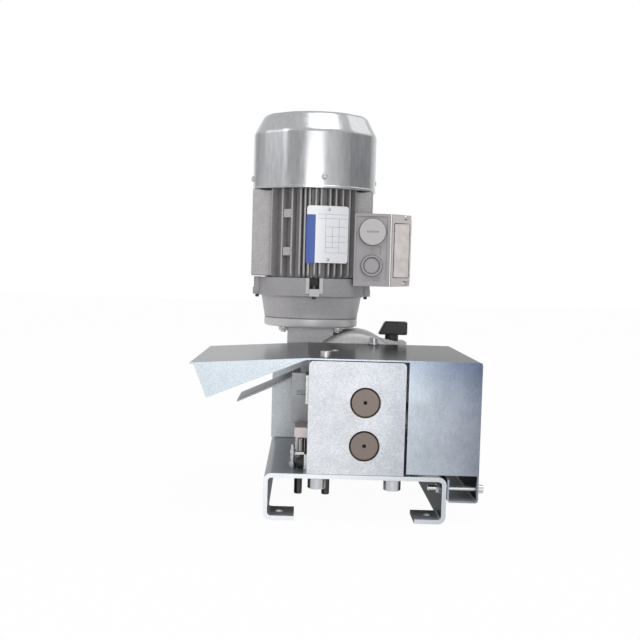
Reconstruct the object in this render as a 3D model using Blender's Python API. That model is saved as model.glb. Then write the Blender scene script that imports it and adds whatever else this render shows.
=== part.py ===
"""Cable stripping machine: a vertical motor and a worm gearbox drive two toothed feed rollers.

X runs to the right, Y away from the front bearing plate and Z up from the floor. Sizes are in metres.
Every piece is built in the machine's own frame, where X = 0 is the plane of the feed shafts and Y = 0 is
the face of the front bearing plate. The last lines stand the whole machine on the world's origin.
"""
import math

import bmesh
import bpy
from mathutils import Matrix, Vector

for old in list(bpy.data.objects):
    bpy.data.objects.remove(old, do_unlink=True)

MM = 0.001
GAP = 0.3 * MM

# Sides of the round shapes: large outer ones, bores in view, inner rings, screws and their holes
LARGE_SIDES = 36
BORE_SIDES = 32
RING_SIDES = 24
BEARING_SIDES = 20
SCREW_SIDES = 12

# Base channel
BASE_LEFT = -89.5 * MM
BASE_RIGHT = 75 * MM
BASE_BEHIND = 13 * MM
BASE_TOP = 42.5 * MM
BASE_SHEET = 4 * MM
BASE_BEND = 7 * MM
FOOT_LENGTH = 28 * MM
FOOT_DEPTH = 40 * MM
FOOT_HOLE = 9 * MM

# Bearing plates
PLATE_LEFT = -51 * MM
PLATE_RIGHT = 36 * MM
PLATE_TOP = 144.5 * MM
PLATE_THICK = 20 * MM
PLATE_CORNER = 4 * MM
PLATE_SPACE = 36 * MM
REAR_PLATE_THICK = 14 * MM
RELIEF_DIAMETER = 27.6 * MM
RELIEF_DEPTH = 6 * MM
BUSH_OUTER = 32 * MM
SCREW_M10 = 10 * MM
SCREW_M8 = 8 * MM
SCREW_M6 = 6 * MM
SCREW_M5 = 5 * MM
SCREW_M4 = 4 * MM
SCREW_CLEARANCE = 0.3 * MM

# Feed shafts and their gears
SHAFT = 25 * MM
UPPER_SHAFT_Z = 108 * MM
GEAR_MODULE = 1.5 * MM
GEAR_TEETH = 26
GEAR_WIDTH = 18 * MM
GEAR_BACKLASH = 0.35 * MM
ROLLER_DIAMETER = 36 * MM
ROLLER_WAIST = 17 * MM
ROLLER_LENGTH = 28 * MM
ROLLER_TEETH = 16
ROLLER_TOOTH_DEPTH = 1.0 * MM
SHAFT_END = 0.5 * MM
CENTRE_DRILL = 3.4 * MM
KEY_WIDTH = 8 * MM
KEY_HEIGHT = 7 * MM
KEY_IN_SHAFT = 4 * MM
KEY_LENGTH = 14 * MM

# Guides, blade holder and its adjuster
CABLE_BORE = 27 * MM
GUIDE_TUBE = 34 * MM
GUIDE_CLEARANCE = 1.5 * MM
GUIDE_FLANGE = 14 * MM
GUIDE_HEIGHT = 34 * MM
INNER_LEFT = -53.5 * MM
INNER_RIGHT = -24 * MM
UPPER_BLOCK_BOTTOM = 103 * MM
UPPER_BLOCK_TOP = 129.5 * MM
LOWER_BLOCK_HEIGHT = 14 * MM
TONGUE_LENGTH = 12 * MM
TONGUE_THICK = 2.5 * MM
TONGUE_WIDTH = 11 * MM
HOLDER_LEFT = -63 * MM
HOLDER_BOTTOM = 72 * MM
HOLDER_THICK = 9.5 * MM
STUD_X = -56.5 * MM
NUT_DIAMETER = 11 * MM
NUT_RIBS = 12
RIB_DEPTH = 0.5 * MM
BLADE_X = -40 * MM
BLADE_LENGTH = 14 * MM
BLADE_THICK = 2 * MM
BLADE_HEIGHT = 16 * MM
BLADE_BACK_HEIGHT = 11.2 * MM
BLADE_SUNK = 6 * MM
SIDE_STUD_X = -64 * MM
SIDE_STUD_Y = 30 * MM
TIE_BAR = 10 * MM
TIE_INSET = 10 * MM
TIE_TOP_DROP = 14 * MM

# Rear wall and sheath deflector
WALL_Y = 209 * MM
WALL_THICK = 6 * MM
WALL_HOLE = 40 * MM
DEFLECTOR_SHEET = 2 * MM
DEFLECTOR_DEPTH = 66 * MM
DEFLECTOR_LEFT = -119 * MM
DEFLECTOR_RIGHT = -67 * MM
DEFLECTOR_HIGH = 122.8 * MM
DEFLECTOR_LOW = 99.3 * MM
DEFLECTOR_TAB_RIGHT = -30 * MM
DEFLECTOR_TAB_BOTTOM = 78 * MM
DEFLECTOR_TAB_TOP = 127 * MM

# Guard cover and its hinge
COVER_SHEET = 1.5 * MM
COVER_LIFT = 0.8 * MM
COVER_RIGHT = 103.7 * MM
COVER_DEPTH = 215 * MM
COVER_BEND_X = -52 * MM
HOOD_LEFT = -158 * MM
HOOD_DROP = 6.8 * MM
GUSSET_TIP_X = -142.5 * MM
GUSSET_TIP_DROP = 38 * MM
GUSSET_TOP_X = -155 * MM
PANEL_LEFT = 38 * MM
PANEL_BOTTOM = 44.6 * MM
EAR_BOTTOM = 20 * MM
EAR_TOP = 40.7 * MM
EAR_GAP = 0.8 * MM
HINGE_Y = 9 * MM
HINGE_Z = 31.5 * MM
HINGE_END = 59 * MM
HINGE_NUT = 4 * MM
INFEED_HOLE = 40 * MM

# Worm gearbox
GEARBOX_FRONT = 223 * MM
GEARBOX_REAR = 305 * MM
CENTRE_DISTANCE = 49.5 * MM
WHEEL_CASE = 104 * MM
SIDE_COVER = 102 * MM
SIDE_COVER_THICK = 8 * MM
SPIGOT = 8 * MM
WORM_CASE = 51 * MM
WORM_CASE_BOTTOM = 56 * MM
WORM_TEETH = 28
WORM_OUTER = 23 * MM
WORM_PITCH = 8 * MM
WHEEL_OUTER = 75 * MM
WHEEL_WIDTH = 24 * MM
WHEEL_TOOTH_DEPTH = 3 * MM
HUB = 40 * MM
HUB_BEARING = 55 * MM
WHEEL_CAVITY = 88 * MM
LUG_RIGHT = 58 * MM
LUG_TOP = 148 * MM
LUG_HEIGHT = 12 * MM

# Motor, standing on the gearbox
FLANGE_BOTTOM = 162.5 * MM
FLANGE_THICK = 9.5 * MM
FLANGE = 105 * MM
CONE_TOP_Z = 197 * MM
CONE_TOP = 113 * MM
SHIELD = 120.6 * MM
BODY_BOTTOM = 217 * MM
BODY_TOP = 313 * MM
BODY_CORE = 112 * MM
FIN_TIP = 125 * MM
FIN_THICK = 2.6 * MM
FIN_STEP = 9
FIN_RANGE = 40 * MM
OPEN_SLOT = 234
BODY_BORE = 100 * MM
PAD_REACH = 67 * MM
PAD_WIDTH = 74 * MM
PAD_ROOT = 40 * MM
ROTOR = 59 * MM
STATOR_BORE = 60.4 * MM
STACK_BOTTOM = 232 * MM
STACK_TOP = 290 * MM
MOTOR_SHAFT = 14 * MM
MOTOR_BEARING = 35 * MM
COWL = 138 * MM
COWL_DOME = 19.5 * MM
COWL_TOP = 395.5 * MM
COWL_TOP_DIAMETER = 115 * MM
COWL_SHEET = 1.5 * MM
COWL_CAP = 13 * MM
COWL_SLOTS = 18
SLOT_START = 20 * MM
SLOT_END = 50 * MM
SLOT_WIDTH = 3.2 * MM
COWL_SCREW_Z = 325 * MM
COWL_SCREW_TURN = 8
FAN = 112 * MM
FAN_BLADES = 8
FAN_BLADE_THICK = 2.4 * MM
FAN_CLEARANCE = 3 * MM
FAN_HEIGHT = 16 * MM

# Terminal box
BOX_LEFT = -4.6 * MM
BOX_RIGHT = 34 * MM
BOX_WIDTH = 90 * MM
BOX_BOTTOM = 209.5 * MM
BOX_TOP = 288.5 * MM
BOX_WALL = 4 * MM
GASKET = 2 * MM
PEDESTAL_TO_LID = 19 * MM
LID_DEPTH = 21 * MM
PLUG_DIAMETER = 29.6 * MM
PLUG_STEM = 21.6 * MM
PLUG_DEPTH = 7 * MM
PEDESTAL_CLEARANCE = MM
PLUG_X = 15 * MM
PLUG_Z = 268.6 * MM
KNOCKOUT_DIAMETER = 18.5 * MM
KNOCKOUT_Z = 232 * MM
NAMEPLATE_WIDTH = 43
NAMEPLATE_HEIGHT = 61 * MM
NAMEPLATE_Z = 264 * MM
NAMEPLATE_TURN = -75
NAMEPLATE_THICK = 0.8 * MM
TERMINAL_BLOCK_WIDTH = 48 * MM
TERMINAL_BLOCK_HEIGHT = 22 * MM
TERMINAL_BLOCK_Z = 251 * MM
WIRE_HOLE = 18 * MM

# Black grip behind the cover
GRIP_STUD_X = 43 * MM
GRIP_NECK = 15 * MM
GRIP_LEFT = 27.5 * MM
GRIP_RIGHT = 60 * MM
GRIP_TOP_LEFT = 35 * MM
GRIP_BOTTOM = 155 * MM
GRIP_TOP = 170 * MM
GRIP_WIDTH = 18 * MM

# Places worked out from the sizes above
GEAR_SPACING = GEAR_MODULE * GEAR_TEETH
LOWER_SHAFT_Z = UPPER_SHAFT_Z - GEAR_SPACING
CABLE_Z = (UPPER_SHAFT_Z + LOWER_SHAFT_Z) / 2
REAR_PLATE_Y = PLATE_THICK + PLATE_SPACE
REAR_PLATE_BACK = REAR_PLATE_Y + REAR_PLATE_THICK
CABLE_Y = PLATE_THICK + PLATE_SPACE / 2
PLATE_BOTTOM = BASE_TOP + GAP
GEAR_Y = REAR_PLATE_BACK + 4 * MM
MOTOR_X = -CENTRE_DISTANCE
MOTOR_Y = (GEARBOX_FRONT + GEARBOX_REAR) / 2
COVER_UNDER = PLATE_TOP + COVER_LIFT
COVER_TOP = COVER_UNDER + COVER_SHEET
EAR_LEFT = BASE_RIGHT + EAR_GAP
GUIDE_END = EAR_LEFT - GUIDE_CLEARANCE
BOX_FRONT = MOTOR_Y - BOX_WIDTH / 2
BOX_BACK = MOTOR_Y + BOX_WIDTH / 2
BASE_DEPTH = GEARBOX_REAR + BASE_BEHIND
COWL_SHOULDER = COWL_TOP - COWL_DOME

MACHINE = bpy.data.objects.new("machine", None)
bpy.context.scene.collection.objects.link(MACHINE)
PIECES = []


def material(name, colour, roughness, metallic):
    """A Principled BSDF material with the piece's colour, roughness and metallic value."""
    made = bpy.data.materials.get(name)
    if made is None:
        made = bpy.data.materials.new(name)
        made.use_nodes = True
        shader = made.node_tree.nodes["Principled BSDF"]
        shader.inputs["Base Color"].default_value = (*colour, 1)
        shader.inputs["Roughness"].default_value = roughness
        shader.inputs["Metallic"].default_value = metallic
        made.diffuse_color = (*colour, 1)
    return made


ZINC = material("zinc_plated_steel", (0.62, 0.65, 0.70), 0.35, 0.9)
TURNED = material("turned_steel", (0.45, 0.42, 0.40), 0.35, 1.0)
BRIGHT = material("bright_screw_steel", (0.75, 0.76, 0.78), 0.25, 1.0)
DARK_STEEL = material("dark_steel", (0.09, 0.085, 0.08), 0.45, 0.9)
CAST = material("die_cast_aluminium", (0.44, 0.43, 0.43), 0.5, 0.7)
COWL_STEEL = material("galvanised_sheet", (0.66, 0.68, 0.70), 0.22, 1.0)
BOX_GREY = material("grey_moulding", (0.42, 0.41, 0.41), 0.5, 0.0)
LID_BEIGE = material("beige_lid", (0.56, 0.53, 0.50), 0.5, 0.0)
BLACK = material("black_moulding", (0.035, 0.034, 0.035), 0.45, 0.0)
RUBBER = material("gasket_rubber", (0.16, 0.16, 0.165), 0.75, 0.0)
BRONZE = material("bearing_bronze", (0.55, 0.38, 0.20), 0.4, 1.0)
COPPER = material("winding_copper", (0.50, 0.22, 0.10), 0.4, 1.0)
LAMINATION = material("stacked_laminations", (0.30, 0.30, 0.31), 0.5, 0.9)
PLATE_WHITE = material("nameplate_white", (0.80, 0.81, 0.84), 0.35, 0.3)
TOOL_STEEL = material("tool_steel", (0.58, 0.59, 0.60), 0.2, 1.0)
BRASS = material("brass", (0.72, 0.53, 0.24), 0.3, 1.0)


def along(axis, radius, angle, distance):
    """The point at this radius and angle round X, Y or Z, and at this distance along it."""
    across = radius * math.cos(angle)
    up = radius * math.sin(angle)
    if axis == "X":
        return Vector((distance, across, up))
    if axis == "Y":
        return Vector((up, distance, across))
    return Vector((across, up, distance))


def turned_mesh(profile, axis="Z", centre=(0, 0, 0), sides=BORE_SIDES, ripple=None, closed=False):
    """Turns (radius, distance) points round an axis. An open profile ends in flat discs."""
    bm = bmesh.new()
    rings = []
    for row, (radius, distance) in enumerate(profile):
        ring = []
        for side in range(sides):
            offset = ripple(row, side) if ripple else 0
            angle = 2 * math.pi * side / sides
            ring.append(bm.verts.new(along(axis, radius + offset, angle, distance) + Vector(centre)))
        rings.append(ring)
    if closed:
        rings.append(rings[0])
    for lower, upper in zip(rings, rings[1:]):
        for side in range(sides):
            after = (side + 1) % sides
            bm.faces.new((lower[side], lower[after], upper[after], upper[side]))
    if not closed:
        bm.faces.new(rings[0])
        bm.faces.new(rings[-1])
    bmesh.ops.recalc_face_normals(bm, faces=bm.faces)
    mesh = bpy.data.meshes.new("turned")
    bm.to_mesh(mesh)
    bm.free()
    return mesh


def ring_mesh(inner, outer, start, end, axis="Z", centre=(0, 0, 0), sides=RING_SIDES):
    """A plain ring between two radii."""
    profile = [(inner, start), (outer, start), (outer, end), (inner, end)]
    return turned_mesh(profile, axis, centre, sides, closed=True)


def rod_mesh(radius, start, end, axis="Z", centre=(0, 0, 0), sides=SCREW_SIDES):
    """A plain round bar."""
    return turned_mesh([(radius, start), (radius, end)], axis, centre, sides)


def prism_mesh(outline, start, end, axis="Y"):
    """Extrudes a flat outline along an axis. The outline is (X, Z) for Y, (Y, Z) for X and (X, Y) for Z."""
    def point(pair, distance):
        first, second = pair
        if axis == "Y":
            return (first, distance, second)
        if axis == "X":
            return (distance, first, second)
        return (first, second, distance)
    bm = bmesh.new()
    lower = [bm.verts.new(point(pair, start)) for pair in outline]
    upper = [bm.verts.new(point(pair, end)) for pair in outline]
    for index, corner in enumerate(lower):
        after = (index + 1) % len(lower)
        bm.faces.new((corner, lower[after], upper[after], upper[index]))
    bm.faces.new(lower)
    bm.faces.new(upper)
    bmesh.ops.recalc_face_normals(bm, faces=bm.faces)
    mesh = bpy.data.meshes.new("prism")
    bm.to_mesh(mesh)
    bm.free()
    return mesh


def box_mesh(low, high):
    """A box between two corners."""
    outline = [(low[0], low[2]), (high[0], low[2]), (high[0], high[2]), (low[0], high[2])]
    return prism_mesh(outline, low[1], high[1], "Y")


def merged(meshes):
    """Several separate solids in one mesh."""
    bm = bmesh.new()
    for mesh in meshes:
        bm.from_mesh(mesh)
    mesh = bpy.data.meshes.new("group")
    bm.to_mesh(mesh)
    bm.free()
    return mesh


def arc(centre, radius, start, end, steps):
    """Points of an arc, its angles in degrees."""
    points = []
    for step in range(steps + 1):
        angle = math.radians(start + (end - start) * step / steps)
        points.append((centre[0] + radius * math.cos(angle), centre[1] + radius * math.sin(angle)))
    return points


def pivot(name, location):
    """An empty on a joint's axis, for the pieces that move about it."""
    empty = bpy.data.objects.new(name, None)
    bpy.context.scene.collection.objects.link(empty)
    empty.parent = MACHINE
    empty.location = location
    return empty


def guide(mesh):
    """A cutter or an added shape: an unseen object that a Boolean reads."""
    hidden = bpy.data.objects.new("shape", mesh)
    bpy.context.scene.collection.objects.link(hidden)
    hidden.parent = MACHINE
    hidden.hide_render = True
    hidden.display_type = "WIRE"
    return hidden


def piece(name, mesh, finish, joint=None, add=(), cut=(), smooth=True):
    """A named sub-part, with shapes added to it and cut from it. A moving one hangs on its joint's empty."""
    obj = bpy.data.objects.new(name, mesh)
    bpy.context.scene.collection.objects.link(obj)
    obj.parent = joint if joint else MACHINE
    if joint:
        mesh.transform(Matrix.Translation(-joint.location))
    mesh.materials.clear()
    mesh.materials.append(finish)
    for operation, shapes in (("UNION", add), ("DIFFERENCE", cut)):
        for shape in shapes:
            modifier = obj.modifiers.new(operation.lower(), "BOOLEAN")
            modifier.operation = operation
            modifier.solver = "EXACT"
            modifier.object = guide(shape)
    if smooth:
        mesh.shade_smooth()
        mesh.set_sharp_from_angle(angle=math.radians(35))
    PIECES.append(obj)
    return obj


def socket_screw(diameter, seat, length, axis, centre, sign=1, sides=SCREW_SIDES):
    """A cap screw with a round recess. Its head lies before the seat, its shank runs on by the length."""
    radius = diameter / 2
    head = 0.8 * diameter
    recess = 0.42 * diameter
    profile = [
        (recess, seat - sign * diameter * 0.5),
        (recess, seat - sign * diameter),
        (head, seat - sign * diameter),
        (head, seat),
        (radius, seat),
        (radius, seat + sign * length),
    ]
    return turned_mesh(profile, axis, centre, sides)


def hex_nut(diameter, start, end, axis, centre):
    """A six-sided nut that clears its thread."""
    inner = (diameter / 2 + GAP) / math.cos(math.pi / 6)
    return ring_mesh(inner, 1.0 * diameter, start, end, axis, centre, 6)


def involute(angle):
    """The involute function of a pressure angle."""
    return math.tan(angle) - angle


def gear_outline(module, teeth, centre, phase, backlash):
    """An involute gear's outline: root, pitch and tip of each flank."""
    pitch = module * teeth / 2
    base = pitch * math.cos(math.radians(20))
    tip = pitch + module
    root = pitch - 1.25 * module
    half = math.pi / (2 * teeth) - backlash / (4 * pitch)
    flank = []
    for radius in (root, pitch, tip):
        pressure = math.acos(min(1.0, base / max(radius, base)))
        flank.append((radius, half + involute(math.radians(20)) - involute(pressure)))
    points = []
    for tooth in range(teeth):
        middle = phase + 2 * math.pi * tooth / teeth
        for radius, turn in flank:
            points.append((radius, middle - turn))
        for radius, turn in reversed(flank):
            points.append((radius, middle + turn))
    return [(centre[0] + r * math.cos(a), centre[1] + r * math.sin(a)) for r, a in points]


# Base channel: one bent sheet with legs and inward feet at the front and the rear
SCREW_BACK_Y = REAR_PLATE_Y + REAR_PLATE_THICK / 2
PLATE_SCREW_IN = 9.3 * MM
M10_PLACES = [
    (x, y)
    for x in (PLATE_LEFT + PLATE_SCREW_IN, PLATE_RIGHT - PLATE_SCREW_IN)
    for y in (PLATE_THICK / 2, SCREW_BACK_Y)
]
FOOT_BLOCK_LEFT = -60 * MM
FOOT_BLOCK_RIGHT = 50 * MM
M8_PLACES = [
    (x, y)
    for x in (FOOT_BLOCK_LEFT + 10 * MM, FOOT_BLOCK_RIGHT - 10 * MM)
    for y in (MOTOR_Y - 18 * MM, MOTOR_Y + 18 * MM)
]
M4_PLACES = [(x, WALL_Y + WALL_THICK / 2) for x in (BASE_LEFT + 20 * MM, BASE_RIGHT - 20 * MM)]
PIN_DIAMETER = 7.5 * MM
PIN_DROP = 14.5 * MM
PIN_TOP = BASE_TOP + 6 * MM
PIN_PLACES = [(x, CABLE_Y + 8 * MM) for x in (-58.3 * MM, -32.6 * MM)]
BASE_UNDER = BASE_TOP - BASE_SHEET
BEND_STEPS = 4
FOOT_HOLE_IN = 14.5 * MM


def base_outline():
    """The channel's section with both feet, outside first and back along the inside."""
    outer = BASE_BEND
    inner = BASE_BEND - BASE_SHEET
    left = BASE_LEFT + BASE_BEND
    right = BASE_RIGHT - BASE_BEND
    low = BASE_BEND
    high = BASE_TOP - BASE_BEND
    points = [(BASE_LEFT + FOOT_LENGTH, 0)]
    points += arc((left, low), outer, 270, 180, BEND_STEPS)
    points += arc((left, high), outer, 180, 90, BEND_STEPS)
    points += arc((right, high), outer, 90, 0, BEND_STEPS)
    points += arc((right, low), outer, 0, -90, BEND_STEPS)
    points += [(BASE_RIGHT - FOOT_LENGTH, 0), (BASE_RIGHT - FOOT_LENGTH, BASE_SHEET)]
    points += arc((right, low), inner, -90, 0, BEND_STEPS)
    points += arc((right, high), inner, 0, 90, BEND_STEPS)
    points += arc((left, high), inner, 90, 180, BEND_STEPS)
    points += arc((left, low), inner, 180, 270, BEND_STEPS)
    points.append((BASE_LEFT + FOOT_LENGTH, BASE_SHEET))
    return points


def base_holes():
    """Screw, pin, hinge and foot holes of the base channel."""
    low = BASE_UNDER - BASE_SHEET
    high = BASE_TOP + BASE_SHEET
    sets = [(SCREW_M10, M10_PLACES), (SCREW_M8, M8_PLACES), (SCREW_M4, M4_PLACES)]
    sets.append((PIN_DIAMETER, PIN_PLACES))
    sets.append((SCREW_M4, [(SIDE_STUD_X, SIDE_STUD_Y)]))
    holes = []
    for diameter, places in sets:
        radius = diameter / 2 + SCREW_CLEARANCE
        holes += [rod_mesh(radius, low, high, "Z", (x, y, 0)) for x, y in places]
    for x in (BASE_LEFT + FOOT_HOLE_IN, BASE_RIGHT - FOOT_HOLE_IN):
        for y in (FOOT_DEPTH / 2, BASE_DEPTH - FOOT_DEPTH / 2):
            holes.append(rod_mesh(FOOT_HOLE / 2, -BASE_SHEET, 2 * BASE_SHEET, "Z", (x, y, 0)))
    bolt = SCREW_M5 / 2 + SCREW_CLEARANCE
    leg = BASE_RIGHT - BASE_SHEET / 2
    holes.append(rod_mesh(bolt, leg - BASE_SHEET, leg + BASE_SHEET, "X", (0, HINGE_Y, HINGE_Z)))
    return merged(holes)


between_feet = box_mesh(
    (BASE_LEFT + BASE_SHEET, FOOT_DEPTH, -BASE_SHEET),
    (BASE_RIGHT - BASE_SHEET, BASE_DEPTH - FOOT_DEPTH, BASE_BEND),
)
channel = prism_mesh(base_outline(), 0, BASE_DEPTH)
piece("base_channel", channel, ZINC, cut=[between_feet, base_holes()])


PLATE_THREAD = 20 * MM
for screw, place in zip(("left", "right"), M10_PLACES[::2]):
    bolt_mesh = socket_screw(SCREW_M10, BASE_UNDER - GAP, PLATE_THREAD, "Z", (*place, 0))
    piece(f"{screw}_plate_screw", bolt_mesh, DARK_STEEL)
for pin, place in zip(("left", "right"), PIN_PLACES):
    pin_mesh = rod_mesh(PIN_DIAMETER / 2, BASE_UNDER - PIN_DROP, PIN_TOP, "Z", (*place, 0), BEARING_SIDES)
    piece(f"{pin}_dowel_pin", pin_mesh, DARK_STEEL)


# Bearing plates with their bushes
def plate_outline(left, right, bottom, top, corner):
    """An upright plate with rounded top corners."""
    points = [(left, bottom), (right, bottom)]
    points += arc((right - corner, top - corner), corner, 0, 90, 4)
    points += arc((left + corner, top - corner), corner, 90, 180, 4)
    return points


def threads_from_below(diameter, places, length):
    """Holes up into a piece that stands on the base."""
    radius = diameter / 2 + SCREW_CLEARANCE
    low = PLATE_BOTTOM - BASE_SHEET
    return [rod_mesh(radius, low, BASE_UNDER + length + GAP, "Z", (x, y, 0)) for x, y in places]


SHAFT_HEIGHTS = (UPPER_SHAFT_Z, LOWER_SHAFT_Z)
plate_shape = plate_outline(PLATE_LEFT, PLATE_RIGHT, PLATE_BOTTOM, PLATE_TOP, PLATE_CORNER)
bores = []
for height in SHAFT_HEIGHTS:
    steps = [
        (RELIEF_DIAMETER / 2, -PLATE_THICK),
        (RELIEF_DIAMETER / 2, RELIEF_DEPTH),
        (BUSH_OUTER / 2, RELIEF_DEPTH),
        (BUSH_OUTER / 2, 2 * PLATE_THICK),
    ]
    bores.append(turned_mesh(steps, "Y", (0, 0, height)))
front_threads = threads_from_below(SCREW_M10, M10_PLACES[::2], PLATE_THREAD)
piece(
    "front_bearing_plate",
    prism_mesh(plate_shape, 0, PLATE_THICK),
    ZINC,
    cut=[merged(bores), merged(front_threads)],
)
through = [
    rod_mesh(BUSH_OUTER / 2, REAR_PLATE_Y - MM, REAR_PLATE_BACK + MM, "Y", (0, 0, height), BORE_SIDES)
    for height in SHAFT_HEIGHTS
]
rear_threads = threads_from_below(SCREW_M10, M10_PLACES[1::2], PLATE_THREAD)
piece(
    "rear_bearing_plate",
    prism_mesh(plate_shape, REAR_PLATE_Y, REAR_PLATE_BACK),
    ZINC,
    cut=[merged(through), merged(rear_threads)],
)
BUSHES = [
    ("front_upper_bush", RELIEF_DEPTH + GAP, PLATE_THICK - GAP, UPPER_SHAFT_Z),
    ("front_lower_bush", RELIEF_DEPTH + GAP, PLATE_THICK - GAP, LOWER_SHAFT_Z),
    ("rear_upper_bush", REAR_PLATE_Y + GAP, REAR_PLATE_BACK - GAP, UPPER_SHAFT_Z),
    ("rear_lower_bush", REAR_PLATE_Y + GAP, REAR_PLATE_BACK - GAP, LOWER_SHAFT_Z),
]
for bush, start, end, height in BUSHES:
    shell = ring_mesh(SHAFT / 2 + GAP, BUSH_OUTER / 2 - GAP, start, end, "Y", (0, 0, height))
    piece(bush, shell, BRONZE)

# Feed shafts, gears, keys and collars
UPPER_FEED = pivot("upper_feed_axis", (0, 0, UPPER_SHAFT_Z))
LOWER_FEED = pivot("lower_feed_axis", (0, 0, LOWER_SHAFT_Z))
KEY_Y = GEAR_Y + (GEAR_WIDTH - KEY_LENGTH) / 2
LOWER_END = GEAR_Y + GEAR_WIDTH + 3 * MM
UPPER_END = GEARBOX_REAR - 2 * MM
KEY_LOW = SHAFT / 2 - KEY_IN_SHAFT
GROOVE = (GEAR_SPACING - ROLLER_WAIST) / 2
ROLLER_ROWS = 3


def shaft_mesh(height, end):
    """A feed shaft turned from one bar, with its hollow-waisted toothed roller and a centre drilling."""
    radius = SHAFT / 2
    drill = CENTRE_DRILL / 2
    rows = [(drill / 2, SHAFT_END + 2 * MM), (drill, SHAFT_END), (radius, SHAFT_END)]
    start = CABLE_Y - ROLLER_LENGTH / 2
    stop = CABLE_Y + ROLLER_LENGTH / 2
    reach = math.sqrt(GROOVE**2 - (GEAR_SPACING / 2 - ROLLER_DIAMETER / 2)**2)
    rows += [(radius, start), (ROLLER_DIAMETER / 2, start)]
    first = len(rows) - 1
    for row in range(-ROLLER_ROWS, ROLLER_ROWS + 1):
        away = reach * math.sin(math.pi / 2 * row / ROLLER_ROWS)
        rows.append((GEAR_SPACING / 2 - math.sqrt(GROOVE**2 - away**2), CABLE_Y + away))
    rows.append((ROLLER_DIAMETER / 2, stop))
    last = len(rows) - 1
    rows += [(radius, stop), (radius, end)]

    def teeth(row, side):
        return -ROLLER_TOOTH_DEPTH if first <= row <= last and side % 2 == 0 else 0

    return turned_mesh(rows, "Y", (0, 0, height), 2 * ROLLER_TEETH, teeth)


def key_slot(height, start, length, top):
    """A slot for a key on the upper side of a shaft."""
    half = KEY_WIDTH / 2 + GAP
    return box_mesh((-half, start - GAP, height + KEY_LOW), (half, start + length + GAP, height + top))


def key_mesh(height, start, length):
    """A key in its slot."""
    half = KEY_WIDTH / 2
    low = height + KEY_LOW + GAP
    return box_mesh((-half, start, low), (half, start + length, low + KEY_HEIGHT))


WHEEL_KEY_LENGTH = 30 * MM
WHEEL_KEY_Y = MOTOR_Y - WHEEL_KEY_LENGTH / 2
SLOT_TOP = SHAFT
HUB_SLOT_TOP = KEY_LOW + KEY_HEIGHT + 2 * GAP
upper_slots = [
    key_slot(UPPER_SHAFT_Z, KEY_Y, KEY_LENGTH, SLOT_TOP),
    key_slot(UPPER_SHAFT_Z, WHEEL_KEY_Y, WHEEL_KEY_LENGTH, SLOT_TOP),
]
piece("upper_feed_shaft", shaft_mesh(UPPER_SHAFT_Z, UPPER_END), TURNED, UPPER_FEED, cut=upper_slots)
lower_slot = key_slot(LOWER_SHAFT_Z, KEY_Y, KEY_LENGTH, SLOT_TOP)
piece("lower_feed_shaft", shaft_mesh(LOWER_SHAFT_Z, LOWER_END), TURNED, LOWER_FEED, cut=[lower_slot])

for side, height, joint, phase in (
    ("upper", UPPER_SHAFT_Z, UPPER_FEED, -math.pi / 2),
    ("lower", LOWER_SHAFT_Z, LOWER_FEED, math.pi / 2 + math.pi / GEAR_TEETH),
):
    outline = gear_outline(GEAR_MODULE, GEAR_TEETH, (0, height), phase, GEAR_BACKLASH)
    bore = rod_mesh(SHAFT / 2 + GAP, GEAR_Y - MM, GEAR_Y + GEAR_WIDTH + MM, "Y", (0, 0, height), RING_SIDES)
    slot = key_slot(height, GEAR_Y - GEAR_WIDTH, 3 * GEAR_WIDTH, HUB_SLOT_TOP)
    gear = prism_mesh(outline, GEAR_Y, GEAR_Y + GEAR_WIDTH)
    piece(f"{side}_spur_gear", gear, TOOL_STEEL, joint, cut=[bore, slot])
    piece(f"{side}_gear_key", key_mesh(height, KEY_Y, KEY_LENGTH), BRIGHT, joint)

# Guides beside the rollers, held between the two bearing plates
INNER_FRONT = PLATE_THICK + GAP
INNER_BACK = REAR_PLATE_Y - GAP
GUIDE_LEFT = PLATE_RIGHT - GUIDE_FLANGE
PASSAGE = (0, CABLE_Y, CABLE_Z)
guide_block = box_mesh(
    (GUIDE_LEFT, INNER_FRONT, CABLE_Z - GUIDE_HEIGHT / 2),
    (PLATE_RIGHT, INNER_BACK, CABLE_Z + GUIDE_HEIGHT / 2),
)
guide_tube = rod_mesh(GUIDE_TUBE / 2 - GAP, GUIDE_LEFT + GAP, GUIDE_END, "X", PASSAGE, BORE_SIDES)
guide_bore = rod_mesh(CABLE_BORE / 2, 0, GUIDE_END + MM, "X", PASSAGE, BORE_SIDES)
piece("infeed_guide", guide_block, TOOL_STEEL, add=[guide_tube], cut=[guide_bore])

upper_block = box_mesh(
    (INNER_LEFT, INNER_FRONT, UPPER_BLOCK_BOTTOM),
    (INNER_RIGHT, INNER_BACK, UPPER_BLOCK_TOP),
)
piece("upper_guide_block", upper_block, TOOL_STEEL, smooth=False)

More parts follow.
